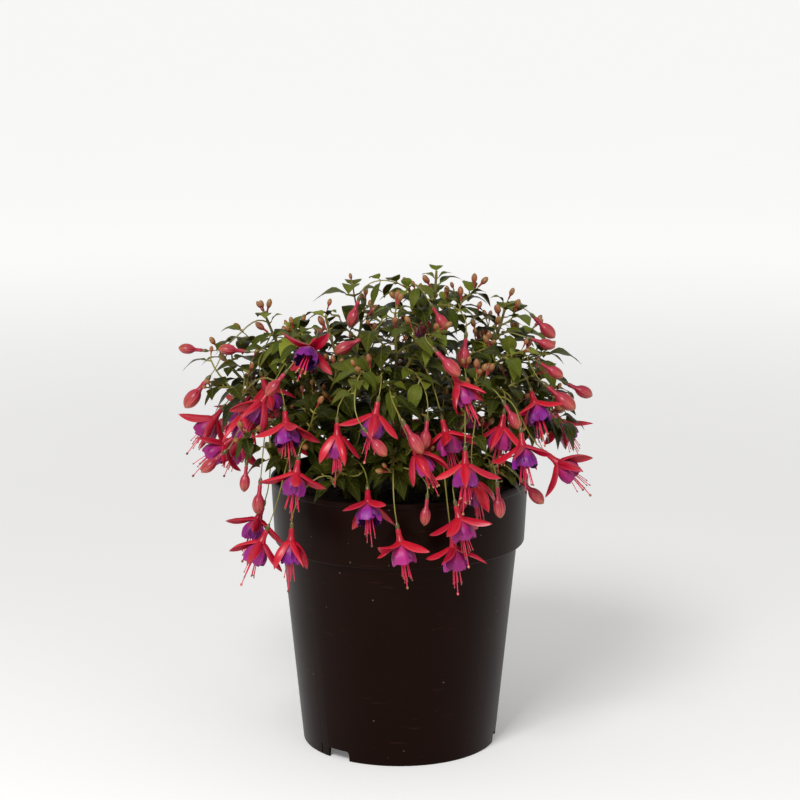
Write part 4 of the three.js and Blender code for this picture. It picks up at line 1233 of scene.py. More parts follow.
def add_node(tree: bpy.types.NodeTree, name: str, kind: str, settings: dict) -> None:
    """Adds a node with its settings and its links.

    Args:
        tree: the tree that it goes into.
        name: what later nodes call it.
        kind: its type, without Blender's prefix.
        settings: its own fields by their lower-case names, the stops of a colour ramp, and its inputs by
            name or number. An input takes a number, a hex colour, or an earlier node and its output, as in
            "cloud.Fac".
    """
    node = tree.nodes.new("ShaderNode" + kind)
    node.name = name
    for key, value in settings.items():
        if key == "stops":
            for i, (place, colour) in enumerate(value):
                stop = node.color_ramp.elements[i] if i < 2 else node.color_ramp.elements.new(place)
                stop.position = place
                stop.color = linear(colour)
        elif isinstance(key, str) and key.islower():
            setattr(node, key, value)
        elif isinstance(value, str) and not value.startswith("#"):
            source, output = value.split(".")
            outputs = tree.nodes[source].outputs
            tree.links.new(outputs[int(output) if output.isdigit() else output], node.inputs[key])
        else:
            node.inputs[key].default_value = linear(value) if isinstance(value, str) else value


# Rows that several finishes share. "place" is a point of the piece in metres. The map runs across the outer
# side of a blade, then across its inner side, and once along it; "middle" is 1 at its midrib and 0 at its
# edges.
COLOUR = {"data_type": "RGBA"}
PLACE = {"place": ("TexCoord", {})}
MARKS = {
    "age": ("Attribute", {"attribute_name": "age"}),
    "tint": ("Attribute", {"attribute_name": "tint"}),
    "map": ("UVMap", {"uv_map": "UVMap"}),
    "split": ("SeparateXYZ", {"Vector": "map.UV"}),
    "inner": ("Math", {"operation": "GREATER_THAN", 0: "split.X", 1: 0.5}),
    "four": ("Math", {"operation": "MULTIPLY", 0: "split.X", 1: 4.0}),
    "middle": ("Math", {"operation": "PINGPONG", 0: "four.Value", 1: 1.0}),
}


@dataclass(frozen=True)
class Finish:
    """A finish: the name of its material and the rows of its nodes, which end in a shader."""

    name: str = ""

    def nodes(self) -> Rows:
        """Each node's name with its type and settings."""
        raise NotImplementedError

    @cached_property
    def material(self) -> bpy.types.Material:
        """The finish as a material, made when it is first asked for.

        Returns:
            The material.
        """
        material = bpy.data.materials.new(self.name)
        material.use_nodes = True
        tree = material.node_tree
        tree.nodes.clear()
        for name, (kind, settings) in self.nodes().items():
            add_node(tree, name, kind, settings)
        add_node(tree, "output", "OutputMaterial", {"Surface": "shader.0"})
        return material


@dataclass(frozen=True)
class MouldedPolypropylene(Finish):
    """Injection-moulded black polypropylene."""

    # Moulding gives a satin skin that is cloudy in gloss; handling adds pale scratches and specks of dust
    name: str = "polypropylene_injection_moulded"
    black: str = "#0E0503"
    worn: str = "#160806"
    scratch: str = "#24120D"
    dust: str = "#6A5A50"

    def nodes(self) -> Rows:
        """A warm black with a cloud of 38 mm, scratches of 7 mm and specks 11 mm apart.

        Returns:
            The rows by the names of their nodes.
        """
        return PLACE | {
            "cloud": ("TexNoise", {"Scale": 1 / (38 * MM), "Detail": 3.0, "Vector": "place.Object"}),
            "grain": ("TexNoise", {"Scale": 1 / (0.9 * MM), "Detail": 2.0, "Vector": "place.Object"}),
            "drawn": ("Mapping", {"Scale": (0.35, 0.35, 3.2), "Vector": "place.Object"}),
            "marks": ("TexNoise", {"Scale": 1 / (7 * MM), "Detail": 2.0, "Vector": "drawn.Vector"}),
            "scratches": ("MapRange", {"From Min": 0.68, "From Max": 0.74, "Value": "marks.Fac"}),
            "cells": ("TexVoronoi", {"Scale": 1 / (11 * MM), "Vector": "place.Object"}),
            "specks": ("MapRange", {"From Min": 0.055, "From Max": 0.03, "Value": "cells.Distance"}),
            "skin": ("Mix", COLOUR | {0: "cloud.Fac", 6: self.black, 7: self.worn}),
            "scratched": ("Mix", COLOUR | {0: "scratches.Result", 6: "skin.2", 7: self.scratch}),
            "dusty": ("Mix", COLOUR | {0: "specks.Result", 6: "scratched.2", 7: self.dust}),
            "rough": ("MapRange", {"To Min": 0.3, "To Max": 0.42, "Value": "cloud.Fac"}),
            "bump": ("Bump", {"Strength": 0.12, "Distance": 0.2 * MM, "Height": "grain.Fac"}),
            "shader": ("BsdfPrincipled", {
                "IOR": 1.49, "Specular IOR Level": 0.085, "Specular Tint": "#FFCDB8",
                "Base Color": "dusty.2", "Roughness": "rough.Result", "Normal": "bump.Normal",
            }),
        }


@dataclass(frozen=True)
class DampPottingMix(Finish):
    """Peat and composted bark, watered and settled."""

    # Watering darkens the crumbs and mats them, so the surface is brown, lumpy and dull
    name: str = "peat_and_bark_damp"

    def nodes(self) -> Rows:
        """Brown crumbs of 5 mm, with painted shade in the gaps between them.

        Returns:
            The rows by the names of their nodes.
        """
        # The crumbs' brown tones vary as a real mix does, but the colour follows the bump, so the dark of the
        # hollows is painted shade
        stops = ((0.3, "#0F0A07"), (0.7, "#4A3524"), (0.5, "#241811"))
        return PLACE | {
            "crumbs": ("TexNoise", {"Scale": 1 / (5 * MM), "Detail": 6.0, "Vector": "place.Object"}),
            "colour": ("ValToRGB", {"stops": stops, 0: "crumbs.Fac"}),
            "bump": ("Bump", {"Strength": 0.9, "Distance": 2 * MM, "Height": "crumbs.Fac"}),
            "shader": ("BsdfPrincipled", {
                "Roughness": 0.93, "IOR": 1.4, "Base Color": "colour.Color", "Normal": "bump.Normal",
            }),
        }


@dataclass(frozen=True)
class GreenStem(Finish):
    """The bark of a fuchsia, grown green and turning woody."""

    # Young bark is waxy and yellow-green with a tan flush; it browns lower down as it turns woody
    name: str = "fuchsia_stem_grown"

    def nodes(self) -> Rows:
        """Two greens with a flush of 14 mm, mixed by age.

        Returns:
            The rows by the names of their nodes.
        """
        return PLACE | MARKS | {
            "flush": ("TexNoise", {"Scale": 1 / (14 * MM), "Detail": 2.0, "Vector": "place.Object"}),
            "fibre": ("TexNoise", {"Scale": 1 / (1.2 * MM), "Detail": 2.0, "Vector": "place.Object"}),
            "young": ("Mix", COLOUR | {0: "flush.Fac", 6: "#86923A", 7: "#8C7036"}),
            "old": ("Mix", COLOUR | {0: "flush.Fac", 6: "#626A2A", 7: "#6C4A2A"}),
            "colour": ("Mix", COLOUR | {0: "age.Fac", 6: "young.2", 7: "old.2"}),
            "bump": ("Bump", {"Strength": 0.25, "Distance": 0.3 * MM, "Height": "fibre.Fac"}),
            "shader": ("BsdfPrincipled", {
                "Roughness": 0.45, "IOR": 1.42, "Base Color": "colour.2", "Normal": "bump.Normal",
            }),
        }


@dataclass(frozen=True)
class LeafBlade(Finish):
    """A fuchsia leaf."""

    # A grown leaf is dark and waxy above with sunken veins, and paler below; a young one is bright green
    name: str = "fuchsia_leaf_blade"

    def nodes(self) -> Rows:
        """Colour by age and by leaf, with a midrib and seven pairs of side veins that slant to the tip.

        Returns:
            The rows by the names of their nodes.
        """
        return PLACE | MARKS | {
            "off": ("Math", {"operation": "SUBTRACT", 0: 1.0, 1: "middle.Value"}),
            "slant": ("Math", {"operation": "MULTIPLY_ADD", 0: "off.Value", 1: -0.22, 2: "split.Y"}),
            "pairs": ("Math", {"operation": "MULTIPLY", 0: "slant.Value", 1: 7.0}),
            "wave": ("Math", {"operation": "PINGPONG", 0: "pairs.Value", 1: 0.5}),
            "veins": ("MapRange", {"From Min": 0.09, "From Max": 0.0, "Value": "wave.Value"}),
            "midrib": ("MapRange", {"From Min": 0.12, "From Max": 0.03, "Value": "off.Value"}),
            "lines": ("Math", {"operation": "MAXIMUM", 0: "veins.Result", 1: "midrib.Result"}),
            "faint": ("Math", {"operation": "MULTIPLY", 0: "lines.Value", 1: 0.3}),
            "patches": ("TexNoise", {"Scale": 1 / (6 * MM), "Detail": 3.0, "Vector": "place.Object"}),
            "patchy": ("Math", {"operation": "MULTIPLY", 0: "patches.Fac", 1: 0.35}),
            "grown": ("Mix", COLOUR | {0: "tint.Fac", 6: "#141B03", 7: "#393E0D"}),
            "young": ("Mix", COLOUR | {0: "tint.Fac", 6: "#566618", 7: "#8A9232"}),
            "ripe": ("MapRange", {"From Min": 0.1, "From Max": 0.65, "Value": "age.Fac"}),
            "above": ("Mix", COLOUR | {0: "ripe.Result", 6: "young.2", 7: "grown.2"}),
            "mottled": ("Mix", COLOUR | {0: "patchy.Value", 6: "above.2", 7: "#191A03"}),
            "veined": ("Mix", COLOUR | {0: "faint.Value", 6: "mottled.2", 7: "#767434"}),
            "under": ("Mix", COLOUR | {0: "tint.Fac", 6: "#3A4210", 7: "#564E18"}),
            "colour": ("Mix", COLOUR | {0: "inner.Value", 6: "veined.2", 7: "under.2"}),
            "bump": ("Bump", {
                "invert": True, "Strength": 0.35, "Distance": 0.4 * MM, "Height": "lines.Value",
            }),
            "shader": ("BsdfPrincipled", {
                "Roughness": 0.38, "IOR": 1.45, "Specular IOR Level": 0.26, "Specular Tint": "#D2D68C",
                "Subsurface Weight": 0.06, "Subsurface Scale": 1 * MM, "Base Color": "colour.2",
                "Normal": "bump.Normal",
            }),
        }


@dataclass(frozen=True)
class SepalSkin(Finish):
    """The skin of a fuchsia's tube, sepals and buds."""

    # The skin is fleshy and waxy, so open sepals are a glossy crimson with fine streaks; a closed bud shows
    # the seams of its sepals and is tan towards its tip, and the youngest are tan all over with a pink neck
    name: str = "fuchsia_sepal_skin"

    def nodes(self) -> Rows:
        """Colours by age, with streaks that run along the skin: many across it and few along it.

        Returns:
            The rows by the names of their nodes.
        """
        return PLACE | MARKS | {
            "drawn": ("Mapping", {"Scale": (26.0, 1.6, 1.0), "Vector": "map.UV"}),
            "fine": ("TexNoise", {"Scale": 1.0, "Detail": 2.0, "Vector": "drawn.Vector"}),
            "streaks": ("MapRange", {"From Min": 0.38, "From Max": 0.62, "Value": "fine.Fac"}),
            "soft": ("Math", {"operation": "MULTIPLY", 0: "streaks.Result", 1: 0.4}),
            # The pale rims of the sepals' backs are a painted highlight of their gloss along the edges
            "edge": ("MapRange", {
                "From Min": 0.25, "From Max": 0.0, "To Max": 0.3, "Value": "middle.Value",
            }),
            "shift": ("Math", {"operation": "ADD", 0: "four.Value", 1: 0.5}),
            "fold": ("Math", {"operation": "PINGPONG", 0: "shift.Value", 1: 0.5}),
            "seam": ("MapRange", {"From Min": 0.07, "From Max": 0.0, "To Max": 0.5, "Value": "fold.Value"}),
            "red": ("Mix", COLOUR | {0: "tint.Fac", 6: "#8E0426", 7: "#C00E20"}),
            "streaked": ("Mix", COLOUR | {0: "soft.Value", 6: "red.2", 7: "#D82E48"}),
            "edged": ("Mix", COLOUR | {0: "edge.Result", 6: "streaked.2", 7: "#DA5466"}),
            "inside": ("Mix", COLOUR | {0: "fine.Fac", 6: "#900620", 7: "#BC0E2C"}),
            "open": ("Mix", COLOUR | {0: "inner.Value", 6: "edged.2", 7: "inside.2"}),
            "clouds": ("TexNoise", {"Scale": 1 / (4 * MM), "Detail": 2.0, "Vector": "place.Object"}),
            "lower": ("MapRange", {"From Min": 0.5, "From Max": 1.0, "To Max": 1.1, "Value": "split.Y"}),
            "tanned": ("Math", {"operation": "MULTIPLY", 0: "lower.Result", 1: "clouds.Fac"}),
            "rosy": ("Mix", COLOUR | {0: "streaks.Result", 6: "#7A0A20", 7: "#CC4058"}),
            "closed": ("Mix", COLOUR | {0: "tanned.Value", 6: "rosy.2", 7: "#AE7440"}),
            "seamed": ("Mix", COLOUR | {0: "seam.Result", 6: "closed.2", 7: "#701420"}),
            "opened": ("MapRange", {"From Min": 0.7, "From Max": 1.0, "Value": "age.Fac"}),
            "grown": ("Mix", COLOUR | {0: "opened.Result", 6: "seamed.2", 7: "open.2"}),
            "neck": ("MapRange", {
                "From Min": 0.3, "From Max": 0.6, "To Min": 0.9, "To Max": 0.0, "Value": "split.Y",
            }),
            "ochre": ("Mix", COLOUR | {0: "tint.Fac", 6: "#6E5224", 7: "#84402A"}),
            "tan": ("Mix", COLOUR | {0: "streaks.Result", 6: "ochre.2", 7: "#A67646"}),
            "young": ("Mix", COLOUR | {0: "neck.Result", 6: "tan.2", 7: "#9E2E34"}),
            "swollen": ("MapRange", {"From Min": 0.34, "From Max": 0.62, "Value": "age.Fac"}),
            "aged": ("Mix", COLOUR | {0: "swollen.Result", 6: "young.2", 7: "grown.2"}),
            "tip": ("MapRange", {"From Min": 0.8, "From Max": 1.0, "To Max": 0.75, "Value": "split.Y"}),
            "tips": ("Mix", COLOUR | {0: "opened.Result", 6: "#84763A", 7: "#A03A3E"}),
            "colour": ("Mix", COLOUR | {0: "tip.Result", 6: "aged.2", 7: "tips.2"}),
            "bump": ("Bump", {"Strength": 0.2, "Distance": 0.3 * MM, "Height": "fine.Fac"}),
            "shader": ("BsdfPrincipled", {
                "Roughness": 0.31, "IOR": 1.42, "Subsurface Weight": 0.1, "Subsurface Scale": 1.5 * MM,
                "Base Color": "colour.2", "Normal": "bump.Normal",
            }),
        }


@dataclass(frozen=True)
class PetalSkin(Finish):
    """A petal of a fuchsia's corolla."""

    # A petal is thin and silky: violet when the flower opens and magenta as it ages; its rims, where it
    # overlaps its neighbours, and its inner side inside the bell are painted darker as painted shade
    name: str = "fuchsia_petal_skin"

    def nodes(self) -> Rows:
        """Violet to magenta by age with veins along it, redder at the base, with painted shade at its rims
        and on its inner side.

        Returns:
            The rows by the names of their nodes.
        """
        return MARKS | {
            "drawn": ("Mapping", {"Scale": (30.0, 2.0, 1.0), "Vector": "map.UV"}),
            "veins": ("TexNoise", {"Scale": 1.0, "Detail": 3.0, "Vector": "drawn.Vector"}),
            "soft": ("Math", {"operation": "MULTIPLY", 0: "veins.Fac", 1: 0.62}),
            "fresh": ("Mix", COLOUR | {0: "tint.Fac", 6: "#420E6A", 7: "#741E90"}),
            "old": ("Mix", COLOUR | {0: "tint.Fac", 6: "#8A0C54", 7: "#BC1F74"}),
            "outside": ("Mix", COLOUR | {0: "age.Fac", 6: "fresh.2", 7: "old.2"}),
            "veined": ("Mix", COLOUR | {0: "soft.Value", 6: "outside.2", 7: "#9C1C74"}),
            # Painted shade: each petal darkens towards its rims, where the petals overlap
            "edge": ("MapRange", {
                "From Min": 0.5, "From Max": 0.0, "To Max": 0.9, "Value": "middle.Value",
            }),
            "dark": ("Mix", COLOUR | {0: "age.Fac", 6: "#2E0A4E", 7: "#660A3C"}),
            "rimmed": ("Mix", COLOUR | {0: "edge.Result", 6: "veined.2", 7: "dark.2"}),
            "base": ("MapRange", {
                "From Min": 0.15, "From Max": 0.6, "To Min": 0.85, "To Max": 0.0, "Value": "split.Y",
            }),
            "flushed": ("Mix", COLOUR | {0: "base.Result", 6: "rimmed.2", 7: "#B82A58"}),
            # Painted shade: the inner side is darker, as inside the bell
            "inside": ("Mix", COLOUR | {0: "age.Fac", 6: "#2A0A48", 7: "#5C0836"}),
            "colour": ("Mix", COLOUR | {0: "inner.Value", 6: "flushed.2", 7: "inside.2"}),
            "bump": ("Bump", {"Strength": 0.25, "Distance": 0.3 * MM, "Height": "veins.Fac"}),
            "shader": ("BsdfPrincipled", {
                "Roughness": 0.42, "IOR": 1.4, "Subsurface Weight": 0.1, "Subsurface Scale": 1 * MM,
                "Sheen Weight": 0.1, "Sheen Roughness": 0.4, "Base Color": "colour.2",
                "Normal": "bump.Normal",
            }),
        }


@dataclass(frozen=True)
class Filament(Finish):
    """The stamens and styles of a fuchsia."""

    # Threads are slender and pink; anthers carry grains of pollen and go from tan to maroon as they ripen
    name: str = "fuchsia_stamen_grown"

    def nodes(self) -> Rows:
        """Pink at 0 of the age attribute, tan at half and maroon at 1, with pollen grains of 0.4 mm.

        Returns:
            The rows by the names of their nodes.
        """
        stops = ((0.0, "#DC2A52"), (1.0, "#3E0A18"), (0.5, "#C88A62"), (0.25, "#E0486A"))
        return PLACE | MARKS | {
            "colour": ("ValToRGB", {"stops": stops, 0: "age.Fac"}),
            "grains": ("TexNoise", {"Scale": 1 / (0.4 * MM), "Detail": 1.0, "Vector": "place.Object"}),
            "bump": ("Bump", {"Strength": 0.3, "Distance": 0.2 * MM, "Height": "grains.Fac"}),
            "shader": ("BsdfPrincipled", {
                "Roughness": 0.4, "IOR": 1.42, "Base Color": "colour.Color", "Normal": "bump.Normal",
            }),
        }


@dataclass(frozen=True)
class OvarySkin(Finish):
    """The ovary above a flower's tube."""

    # A swelling fruit has a hard smooth skin, so it is a glossy green-brown
    name: str = "fuchsia_ovary_grown"

    def nodes(self) -> Rows:
        """Olive brown with a soft cloud of 2.5 mm.

        Returns:
            The rows by the names of their nodes.
        """
        return PLACE | {
            "cloud": ("TexNoise", {"Scale": 1 / (2.5 * MM), "Detail": 1.0, "Vector": "place.Object"}),
            "colour": ("Mix", COLOUR | {0: "cloud.Fac", 6: "#4A5424", 7: "#644E28"}),
            "shader": ("BsdfPrincipled", {"Roughness": 0.22, "IOR": 1.46, "Base Color": "colour.2"}),
        }


@dataclass(frozen=True)
class OpalAcrylic(Finish):
    """The cast opal acrylic sheet of the studio's table."""

    # A cast sheet is even and dull, and lamps below its far part make it white to the horizon
    name: str = "acrylic_sheet_opal_cast"

    def nodes(self) -> Rows:
        """White with a cloud of 400 mm, lit from below ever more up to 3.2 m off.

        Returns:
            The rows by the names of their nodes.
        """
        return PLACE | {
            "cloud": ("TexNoise", {"Scale": 1 / (400 * MM), "Detail": 1.0, "Vector": "place.Object"}),
            "colour": ("Mix", COLOUR | {0: "cloud.Fac", 6: "#F5F4F3", 7: "#F8F7F6"}),
            "off": ("VectorMath", {"operation": "LENGTH", 0: "place.Object"}),
            "lamps": ("MapRange", {
                "interpolation_type": "SMOOTHSTEP", "From Min": 0.1, "From Max": 3.2, "To Min": 0.14,
                "To Max": 0.52, "Value": "off.Value",
            }),
            "shader": ("BsdfPrincipled", {
                "Roughness": 0.8, "Specular IOR Level": 0.2, "Emission Color": "#FFFFFF",
                "Base Color": "colour.2", "Emission Strength": "lamps.Result",
            }),
        }


# Meshes


class Slot(Enum):
    """The record's material slots."""

    POT = "pot"
    SOIL = "soil"
    FOLIAGE = "foliage"
    SEPAL = "sepal"
    COROLLA = "corolla"


class Part(IntEnum):
    """The finishes of a piece, by their place on it."""

    MAIN = 0
    SECOND = 1


@dataclass(frozen=True)
class Look:
    """How faces are finished: their material's place, and the attributes that its nodes read."""

    part: Part = Part.MAIN
    age: float = 0.0
    tint: float = 0.5


def transported(points: Array) -> tuple[Array, Array]:
    """Two directions square to a line at each of its points, kept from twisting.

    Args:
        points: the line's points, one a row.

    Returns:
        The sideways and the upward directions, one a row.
    """
    ways = np.gradient(points, axis=0)
    ways /= np.linalg.norm(ways, axis=1, keepdims=True)
    side = square_to(ways[0])[0]
    sides = []
    for way in ways:
        side = unit(side - way * dot(side, way))
        sides.append(side)
    sides = np.array(sides)
    return sides, np.cross(ways, sides)


def new_object(name: str, data: bpy.types.ID) -> bpy.types.Object:
    """Puts an object into the scene.

    Args:
        name: its name.
        data: its mesh, light or camera.

    Returns:
        The object.
    """
    thing = bpy.data.objects.new(name, data)
    bpy.context.scene.collection.objects.link(thing)
    return thing


def object_of(mesh: bmesh.types.BMesh, name: str) -> bpy.types.Object:
    """Ends a bmesh and puts it into the scene.

    Args:
        mesh: the bmesh, which is freed.
        name: the name of the object.

    Returns:
        The object.
    """
    data = bpy.data.meshes.new(name)
    mesh.to_mesh(data)
    mesh.free()
    return new_object(name, data)


def spin_profile(mesh: bmesh.types.BMesh, profile: Profile, steps: int) -> None:
    """Spins a profile that starts and ends on the upright axis into a closed body.

    Args:
        mesh: the mesh that it goes into.
        profile: its points, as distances from the axis and heights.
        steps: the faces round.
    """
    verts = [mesh.verts.new((r, 0, z)) for r, z in profile]
    edges = [mesh.edges.new(pair) for pair in zip(verts, verts[1:])]
    round_once = 2 * math.pi
    bmesh.ops.spin(mesh, geom=verts + edges, cent=(0, 0, 0), axis=(0, 0, 1), angle=round_once, steps=steps,
                   use_merge=True)
    bmesh.ops.remove_doubles(mesh, verts=mesh.verts, dist=0.001)


class Skin:
    """One piece's mesh while it is made, in millimetres."""

    def __init__(self) -> None:
        """Starts empty, with a map and the attributes that finishes read."""
        self.mesh = bmesh.new()
        self.mesh.loops.layers.uv.new("UVMap")
        self.age = self.mesh.verts.layers.float.new("age")
        self.tint = self.mesh.verts.layers.float.new("tint")

    def dress(self, verts: Iterable[bmesh.types.BMVert], look: Look) -> None:
        """Gives new vertices and their faces their look.

        Args:
            verts: the vertices.
            look: how they are finished.
        """
        for vert in verts:
            vert[self.age] = look.age
            vert[self.tint] = look.tint
            for face in vert.link_faces:
                face.material_index = look.part
                face.smooth = True

    def sheet(self, columns: int, rows: int, place: Callable[[Array, Array], Array], look: Look) -> None:
        """Bends a grid to a shape.

        Args:
            columns: its faces across.
            rows: its faces along.
            place: gives the points for whole numbers of columns and rows.
            look: how it is finished.
        """
        grid = bmesh.ops.create_grid(self.mesh, x_segments=columns, y_segments=rows, size=0.5, calc_uvs=True)
        verts = grid["verts"]
        flat = np.array([vert.co for vert in verts])
        across = np.rint((flat[:, 0] + 0.5) * columns).astype(int)
        along = np.rint((flat[:, 1] + 0.5) * rows).astype(int)
        for vert, point in zip(verts, place(across, along)):
            vert.co = point
        self.dress(verts, look)

    def blade(self, surface: Surface, across: int, rows: int, thickness: float, look: Look) -> None:
        """A thin closed blade: its outer side and then its inner side, joined round the edge.

        Args:
            surface: gives points and directions to the outer side, for -1 to 1 across and 0 to 1 along.
            across: the faces across each side.
            rows: the faces along it.
            thickness: its greatest thickness.
            look: how it is finished.
        """

        def place(k: Array, j: Array) -> Array:
            """The points of both sides, which meet at the edges.

            Args:
                k: steps across.
                j: steps along.

            Returns:
                The points, one to a row.
            """
            turn = 2 * k / across
            a = np.where(k <= across, turn - 1, 3 - turn)
            side = np.where(k <= across, 1.0, -1.0)
            t = j / rows
            points, normals = surface(a, t)
            body = (1 - np.abs(a) ** 6) * np.minimum(1, np.minimum(t, 1 - t) * rows)
            return points + normals * (side * body * thickness / 2)[:, None]

        self.sheet(2 * across, rows, place, look)

    def tube(self, points: Array, radii: Array, sides: int, look: Look, lobes: float = 0.0) -> None:
        """A closed tube through points.

        Args:
            points: its middle line, one point a row.
            radii: its radius at each point.
            sides: its faces round.
            look: how it is finished.
            lobes: the height of four lobes round it, as a share of the radius.
        """
        side, rise = transported(points)
        points, side, rise = (np.vstack([rows[:1], rows, rows[-1:]]) for rows in (points, side, rise))
        radii = np.concatenate([[0], radii, [0]])

        def place(k: Array, j: Array) -> Array:
            """The points round the line, whose doubled ends close the tube.

            Args:
                k: steps across.
                j: steps along.

            Returns:
                The points, one to a row.
            """
            turn = 2 * math.pi * k / sides
            radius = radii[j] * (1 + lobes * np.cos(4 * turn))
            beside = (radius * np.cos(turn))[:, None] * side[j]
            return points[j] + beside + (radius * np.sin(turn))[:, None] * rise[j]

        self.sheet(sides, len(points) - 1, place, look)

    def turned_body(self, at: Array, down: Array, profile: Profile, sides: int, look: Look,
                    lobes: float = 0.0) -> None:
        """A closed body turned round an axis.

        Args:
            at: where the axis starts.
            down: the way that it runs.
            profile: its points, as reaches along the axis and radii.
            sides: its faces round.
            look: how it is finished.
            lobes: the height of four lobes round it.
        """
        reaches, radii = zip(*profile)
        points = at + np.array(reaches)[:, None] * down
        self.tube(points, np.array(radii, float), sides, look, lobes)

    def piece(self, name: str, finishes: Iterable[Finish], slot: Slot, *nodes: str) -> None:
        """Ends the mesh and puts it on the frame.

        Args:
            name: the piece's name.
            finishes: its finishes, in the order of their places.
            slot: the record's material slot of the piece; not used.
            nodes: the solids that it stands for.
        """
        bmesh.ops.remove_doubles(self.mesh, verts=self.mesh.verts, dist=0.0005)
        bmesh.ops.dissolve_degenerate(self.mesh, edges=self.mesh.edges, dist=0.0005)
        bmesh.ops.recalc_face_normals(self.mesh, faces=self.mesh.faces)
        for edge in self.mesh.edges:
            edge.smooth = not (edge.is_manifold and edge.calc_face_angle(0) > SHARP)
        bmesh.ops.scale(self.mesh, vec=(MM, MM, MM), verts=self.mesh.verts)
        piece = object_of(self.mesh, name)
        for finish in finishes:
            piece.data.materials.append(finish.material)
        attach(piece, "root")
        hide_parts(*nodes)
        log.info("%s: %d faces", name, len(piece.data.polygons))


def softened(corners: tuple[Triple, ...], steps: int = 4) -> Profile:
    """Rounds the corners of a closed profile.

    Args:
        corners: each corner's radius from the axis, its height and how far its rounding reaches.
        steps: the pieces of each rounded corner.

    Returns:
        The points of the rounded profile.
    """
    places = [np.array(corner[:2], float) for corner in corners]
    points = []
    for i, (corner, (_, _, reach)) in enumerate(zip(places, corners)):
        if reach == 0:
            points.append(tuple(corner))
            continue
        before = places[i - 1] - corner
        after = places[(i + 1) % len(places)] - corner
        start = corner + before / np.linalg.norm(before) * reach
        end = corner + after / np.linalg.norm(after) * reach
        for k in range(steps + 1):
            t = k / steps
            points.append(tuple((1 - t) ** 2 * start + 2 * t * (1 - t) * corner + t * t * end))
    return points


@dataclass
class NurseryPot:
    """The moulded pot: a wall of even thickness, a collar with a lip, and a foot ring with drain slots."""

    sizes: PotSizes = POT
    steps: int = 144
    split: Triple = (-51.5, 1.1, 8.5)
    cutter_depth: float = 10
    slot_rounding: float = 2.2
    finish: Finish = field(default_factory=MouldedPolypropylene)

    def profile(self) -> Profile:
        """The section of the wall, from the middle of the foot round the outside to the inside of the floor.

        Returns:
            Its points, as distances from the axis and heights.
        """
        s = self.sizes
        body_r, body_z = s.body_top
        collar_r, collar_z = s.collar_foot
        floor = s.gutter + s.wall
        inside = s.foot_radius - s.wall
        return softened((
            (0, 0, 0),
            (s.middle_foot_radius, 0, 0.8),
            (s.middle_foot_radius + 1, s.gutter, 1.2),
            (inside - 0.4, s.gutter, 1.2),
            (inside, 0, 0.6),
            (s.foot_radius, 0, 0.9),
            (body_r, body_z - 0.3, 1.2),
            (collar_r + 0.3, collar_z + 0.1, 0.9),
            (s.rim_radius - 0.5, s.height - 4.5, 1.0),
            (s.rim_radius, s.height - 3.6, 0.5),
            (s.rim_radius, s.height, 0.8),
            (s.rim_radius - s.wall - 0.3, s.height, 0.8),
            (s.rim_radius - s.wall - 0.6, s.height - 4, 1.0),
            (collar_r - s.wall, collar_z + s.wall, 1.2),
            (body_r - s.wall, body_z + s.wall, 1.2),
            (inside + 1, floor, 2.5),
            (s.middle_foot_radius - 1.5, floor, 1.0),
            (s.middle_foot_radius - 1.5, s.wall, 0.8),
            (0, s.wall, 0),
        ))

    def cutters(self) -> bpy.types.Object:
        """The shapes of the drain slots, the drain holes and a split beside one slot.

        Returns:
            All of them as one object.
        """
        s = self.sizes
        mesh = bmesh.new()
        boxes = [(angle, s.slot_width, s.slot_height) for angle in s.slot_angles]
        for angle, width, height in [*boxes, self.split]:
            before = set(mesh.verts)
            cube = bmesh.ops.create_cube(mesh, size=1)["verts"]
            bmesh.ops.scale(mesh, vec=(width, self.cutter_depth, 2 * height), verts=cube)
            tops = [edge for edge in mesh.edges if edge.verts[0] not in before
                    and min(vert.co.z for vert in edge.verts) > 0
                    and abs(edge.verts[0].co.x - edge.verts[1].co.x) < 0.001]
            rounding = min(self.slot_rounding, 0.3 * width)
            bmesh.ops.bevel(mesh, geom=tops, offset=rounding, affect="EDGES", segments=4, profile=0.5,
                            material=-1)
            verts = [vert for vert in mesh.verts if vert not in before]
            bmesh.ops.translate(mesh, vec=(0, -s.foot_radius, 0), verts=verts)
            turn = Matrix.Rotation(math.radians(angle), 3, "Z")
            bmesh.ops.rotate(mesh, cent=(0, 0, 0), matrix=turn, verts=verts)
        for k in range(s.drain_holes):
            hole = bmesh.ops.create_cone(mesh, cap_ends=True, segments=28, radius1=s.drain_radius,
                                         radius2=s.drain_radius, depth=3 * s.wall)
            turn = 2 * math.pi * (k + 0.5) / s.drain_holes
            middle = (s.drain_circle * math.cos(turn), s.drain_circle * math.sin(turn), s.gutter + s.wall / 2)
            bmesh.ops.translate(mesh, vec=middle, verts=hole["verts"])
        return object_of(mesh, "pot_cutters")

    def build(self) -> None:
        """Spins the wall, cuts its slots and holes, and rounds their edges."""
        whole = bmesh.new()
        spin_profile(whole, self.profile(), self.steps)
        bmesh.ops.recalc_face_normals(whole, faces=whole.faces)
        body = object_of(whole, "pot_whole")
        cutters = self.cutters()
        cut = body.modifiers.new("slots", "BOOLEAN")
        cut.operation = "DIFFERENCE"
        cut.object = cutters
        cut.solver = "EXACT"
        bpy.context.view_layer.update()
        done = bpy.data.meshes.new_from_object(body.evaluated_get(bpy.context.evaluated_depsgraph_get()))
        skin = Skin()
        skin.mesh.from_mesh(done)
        for spare in (body, cutters):
            bpy.data.objects.remove(spare)
        for face in skin.mesh.faces:
            face.smooth = True
        skin.piece("nursery_pot", (self.finish,), Slot.POT, "pot")


